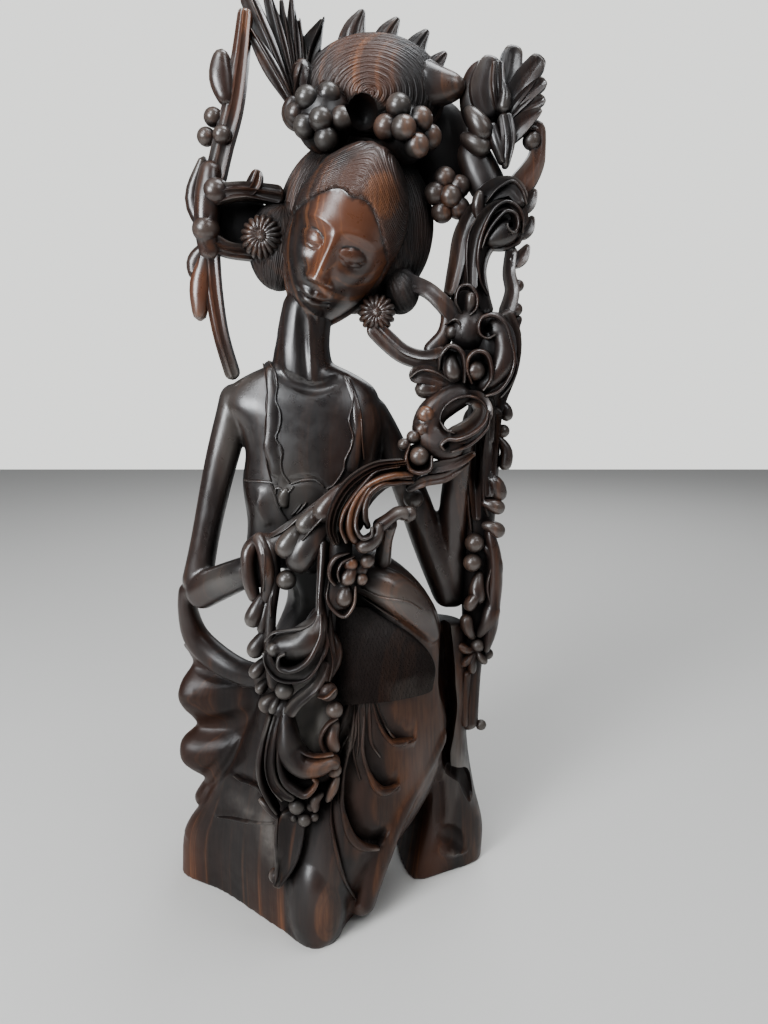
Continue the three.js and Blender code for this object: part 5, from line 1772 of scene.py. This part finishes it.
def shine(tree, shader, rough, mottle, powder_and_light, gloom):
    """Roughness is a mottled start plus what powder, gloom and want of polish add. The gleam grows with
    polish and fades in gloom, and a thin film of wax lies on it where the wood isn't rough."""
    polish = node(tree, "ShaderNodeAttribute", attribute_name="polish").outputs["Fac"]
    ends = {1: 0.3, 2: 0.7, 3: rough - 0.05, 4: rough + 0.07}
    roughness = node(tree, "ShaderNodeMapRange", {0: mottle, **ends}).outputs[0]
    dull = node(tree, "ShaderNodeMapRange", {0: powder_and_light, 1: 0.0, 2: 1.0, 3: 0.0, 4: 0.6}).outputs[0]
    untouched = node(tree, "ShaderNodeMath", {0: gloom, 1: 0.3}, operation="MULTIPLY").outputs[0]
    unpolished = node(tree, "ShaderNodeMapRange", {0: polish, 1: 0.0, 2: 1.0, 3: 0.16, 4: 0.0}).outputs[0]
    for more in (dull, untouched, unpolished):
        roughness = node(tree, "ShaderNodeMath", {0: roughness, 1: more}, operation="ADD").outputs[0]
    gleam = node(tree, "ShaderNodeMapRange", {0: polish, 1: 0.0, 2: 1.0, 3: 0.11, 4: 0.65}).outputs[0]
    open_air = node(tree, "ShaderNodeMapRange", {0: gloom, 1: 0.0, 2: 1.0, 3: 1.0, 4: 0.2}).outputs[0]
    gleam = node(tree, "ShaderNodeMath", {0: gleam, 1: open_air}, operation="MULTIPLY").outputs[0]
    waxed = 0.6 if rough < ROUGH_FROM else 0.0
    film = node(tree, "ShaderNodeMath", {0: gleam, 1: waxed}, operation="MULTIPLY").outputs[0]
    for socket, value in [("Roughness", roughness), ("Specular IOR Level", gleam), ("Coat Weight", film)]:
        tree.links.new(value, shader.inputs[socket])
    shader.inputs["Coat Roughness"].default_value = 0.25


def ebony(material, dusty, rough, relief, dim=0.0):
    """Fills one finish: the colour, the shine, and the bump, whose height field relief gives. Dim is
    the gloom that it has even in the open."""
    material.use_nodes = True
    tree = material.node_tree
    shader = tree.nodes["Principled BSDF"]
    shader.inputs["IOR"].default_value = 1.5
    place = node(tree, "ShaderNodeTexCoord").outputs["Object"]
    along = {"Scale": (1, 1, GRAIN_STRETCH), "Rotation": (0.05, 0.03, 0)}
    grain = node(tree, "ShaderNodeMapping", {"Vector": place, **along}).outputs[0]
    fine = {"Vector": grain, "Scale": 1 / (FIBRE * MM), "Detail": 3.0}
    fibres = node(tree, "ShaderNodeTexNoise", fine).outputs["Fac"]
    cloudy = {"Vector": place, "Scale": 1 / (MOTTLE * MM), "Detail": 4.0}
    mottle = node(tree, "ShaderNodeTexNoise", cloudy).outputs["Fac"]
    colour = streaked_wood(tree, place, grain, fibres)
    colour, powder_and_light, gloom = dust_sheen_and_shade(tree, colour, mottle, dusty, dim)
    tree.links.new(colour, shader.inputs["Base Color"])
    shine(tree, shader, rough, mottle, powder_and_light, gloom)
    height, distance = relief(tree, place, fibres)
    bumped = node(tree, "ShaderNodeBump", {"Height": height, "Distance": distance, "Strength": 0.6})
    tree.links.new(bumped.outputs[0], shader.inputs["Normal"])


# %% [markdown]
# The three finishes differ in how much dust they hold, how rough they are and what the light catches:
# open pores on the polished wood, the veiner's finest lines in the hair, and crossed cuts on the panel.

# %% Pores, strands and hatching
PORE_DEPTH = 0.05 * MM
STRAND_PITCH = 1.3  # mm between the finest marks of the veiner
STRAND_DEPTH = 0.16 * MM
HATCH_PITCH = 2.2  # mm
HATCH_DEPTH = 0.5 * MM
WAVE_FACTOR = 20  # the wave texture multiplies its coordinates by this


def open_pores(tree, place, fibres):
    """Fine lines along the grain: the fibre noise itself."""
    return fibres, PORE_DEPTH


def fine_strands(tree, place, fibres):
    """A sine across the strand value, which counts millimetres across the hair."""
    strand = node(tree, "ShaderNodeAttribute", attribute_name="strand").outputs["Fac"]
    turns = 2 * math.pi / STRAND_PITCH
    phase = node(tree, "ShaderNodeMath", {0: strand, 1: turns}, operation="MULTIPLY").outputs[0]
    wander = node(tree, "ShaderNodeMath", {0: fibres, 1: 3.0}, operation="MULTIPLY").outputs[0]
    phase = node(tree, "ShaderNodeMath", {0: phase, 1: wander}, operation="ADD").outputs[0]
    return node(tree, "ShaderNodeMath", {0: phase}, operation="SINE").outputs[0], STRAND_DEPTH


def hatching(tree, place, fibres):
    """Two crossed families of slanting cuts, broken up by noise."""
    scale = 2 * math.pi / (WAVE_FACTOR * HATCH_PITCH * MM)
    cuts = []
    for turn in (0.5, -0.35):
        turned = node(tree, "ShaderNodeMapping", {"Vector": place, "Rotation": (0, turn, 0)}).outputs[0]
        wave = {"Vector": turned, "Scale": scale, "Distortion": 6.0, "Detail": 3.0, "Detail Scale": 3.0}
        cuts.append(node(tree, "ShaderNodeTexWave", wave, bands_direction="X").outputs["Fac"])
    crossed = node(tree, "ShaderNodeMath", {0: cuts[0], 1: cuts[1]}, operation="MULTIPLY").outputs[0]
    return crossed, HATCH_DEPTH


ebony(finishes[POLISHED], dusty=0.55, rough=0.3, relief=open_pores)
ebony(finishes[COMBED], dusty=0.7, rough=0.42, relief=fine_strands)
ebony(finishes[HATCHED], dusty=0.2, rough=0.66, relief=hatching, dim=0.55)
print("three finishes made")

# %% Hand the carving to the frame
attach(goddess, "root")
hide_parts("carved_figure")

# %% [markdown]
# ## Floor and light
# A pale floor and large soft lamps, as in a studio, so that the dark wood shows its form in highlights.
# The strongest lamp stands low at the left, as a window would.

# %% Floor and light
floor_mesh = bpy.data.meshes.new("floor")
corners = [(x, y, 0) for x, y in ((-1.8, -0.5), (1.8, -0.5), (1.8, 2.2), (-1.8, 2.2))]
floor_mesh.from_pydata(corners, [], [(0, 1, 2, 3)])
floor = bpy.data.objects.new("floor", floor_mesh)
bpy.context.scene.collection.objects.link(floor)
paper = bpy.data.materials.new("pale_paper")
paper.use_nodes = True
paper_shader = paper.node_tree.nodes["Principled BSDF"]
paper_shader.inputs["Base Color"].default_value = linear(PAPER)
paper_shader.inputs["Roughness"].default_value = 0.9
floor_mesh.materials.append(paper)

LAMP_COLOUR = (0.94, 0.97, 1.0)  # daylight, a little cool
LAMP_AIM = (0.015, 0.0, 0.26)  # the figure's waist


def pointed(thing, place):
    """Places a lamp and turns it to look at the figure."""
    thing.location = place
    away = np.array(LAMP_AIM) - np.array(place)
    tilt = math.atan2(math.hypot(away[0], away[1]), -away[2])
    thing.rotation_euler = Euler((tilt, 0, math.atan2(away[1], away[0]) - math.pi / 2))
    bpy.context.scene.collection.objects.link(thing)


for name, place, size, power in [
    ("key", (-0.55, -1.0, 1.3), 0.55, 11),
    ("window", (-0.8, -0.95, 0.62), 0.45, 18),
    ("fill", (0.75, -1.0, 1.25), 0.5, 4),
    ("top", (0.3, -0.05, 1.4), 0.5, 8),
    ("back", (0.3, 1.3, 1.3), 1.0, 9),
]:
    lamp = bpy.data.lights.new(name, "AREA")
    lamp.size = size
    lamp.energy = power
    lamp.color = LAMP_COLOUR
    pointed(bpy.data.objects.new(name, lamp), place)
sky = bpy.data.lights.new("sky", "SUN")
sky.energy = 0.4
sky.angle = math.radians(50)
pointed(bpy.data.objects.new("sky", sky), (-0.3, -0.5, 2.0))

world = bpy.data.worlds.new("studio")
bpy.context.scene.world = world
world.use_nodes = True
around = world.node_tree
dim = node(around, "ShaderNodeBackground", {"Color": linear(SKYLIGHT), "Strength": 0.16})
bright = node(around, "ShaderNodeBackground", {"Color": linear(BACKDROP), "Strength": 2.2})
seen = node(around, "ShaderNodeLightPath").outputs["Is Camera Ray"]
mixed = node(around, "ShaderNodeMixShader", {0: seen, 1: dim.outputs[0], 2: bright.outputs[0]})
around.links.new(mixed.outputs[0], around.nodes["World Output"].inputs["Surface"])
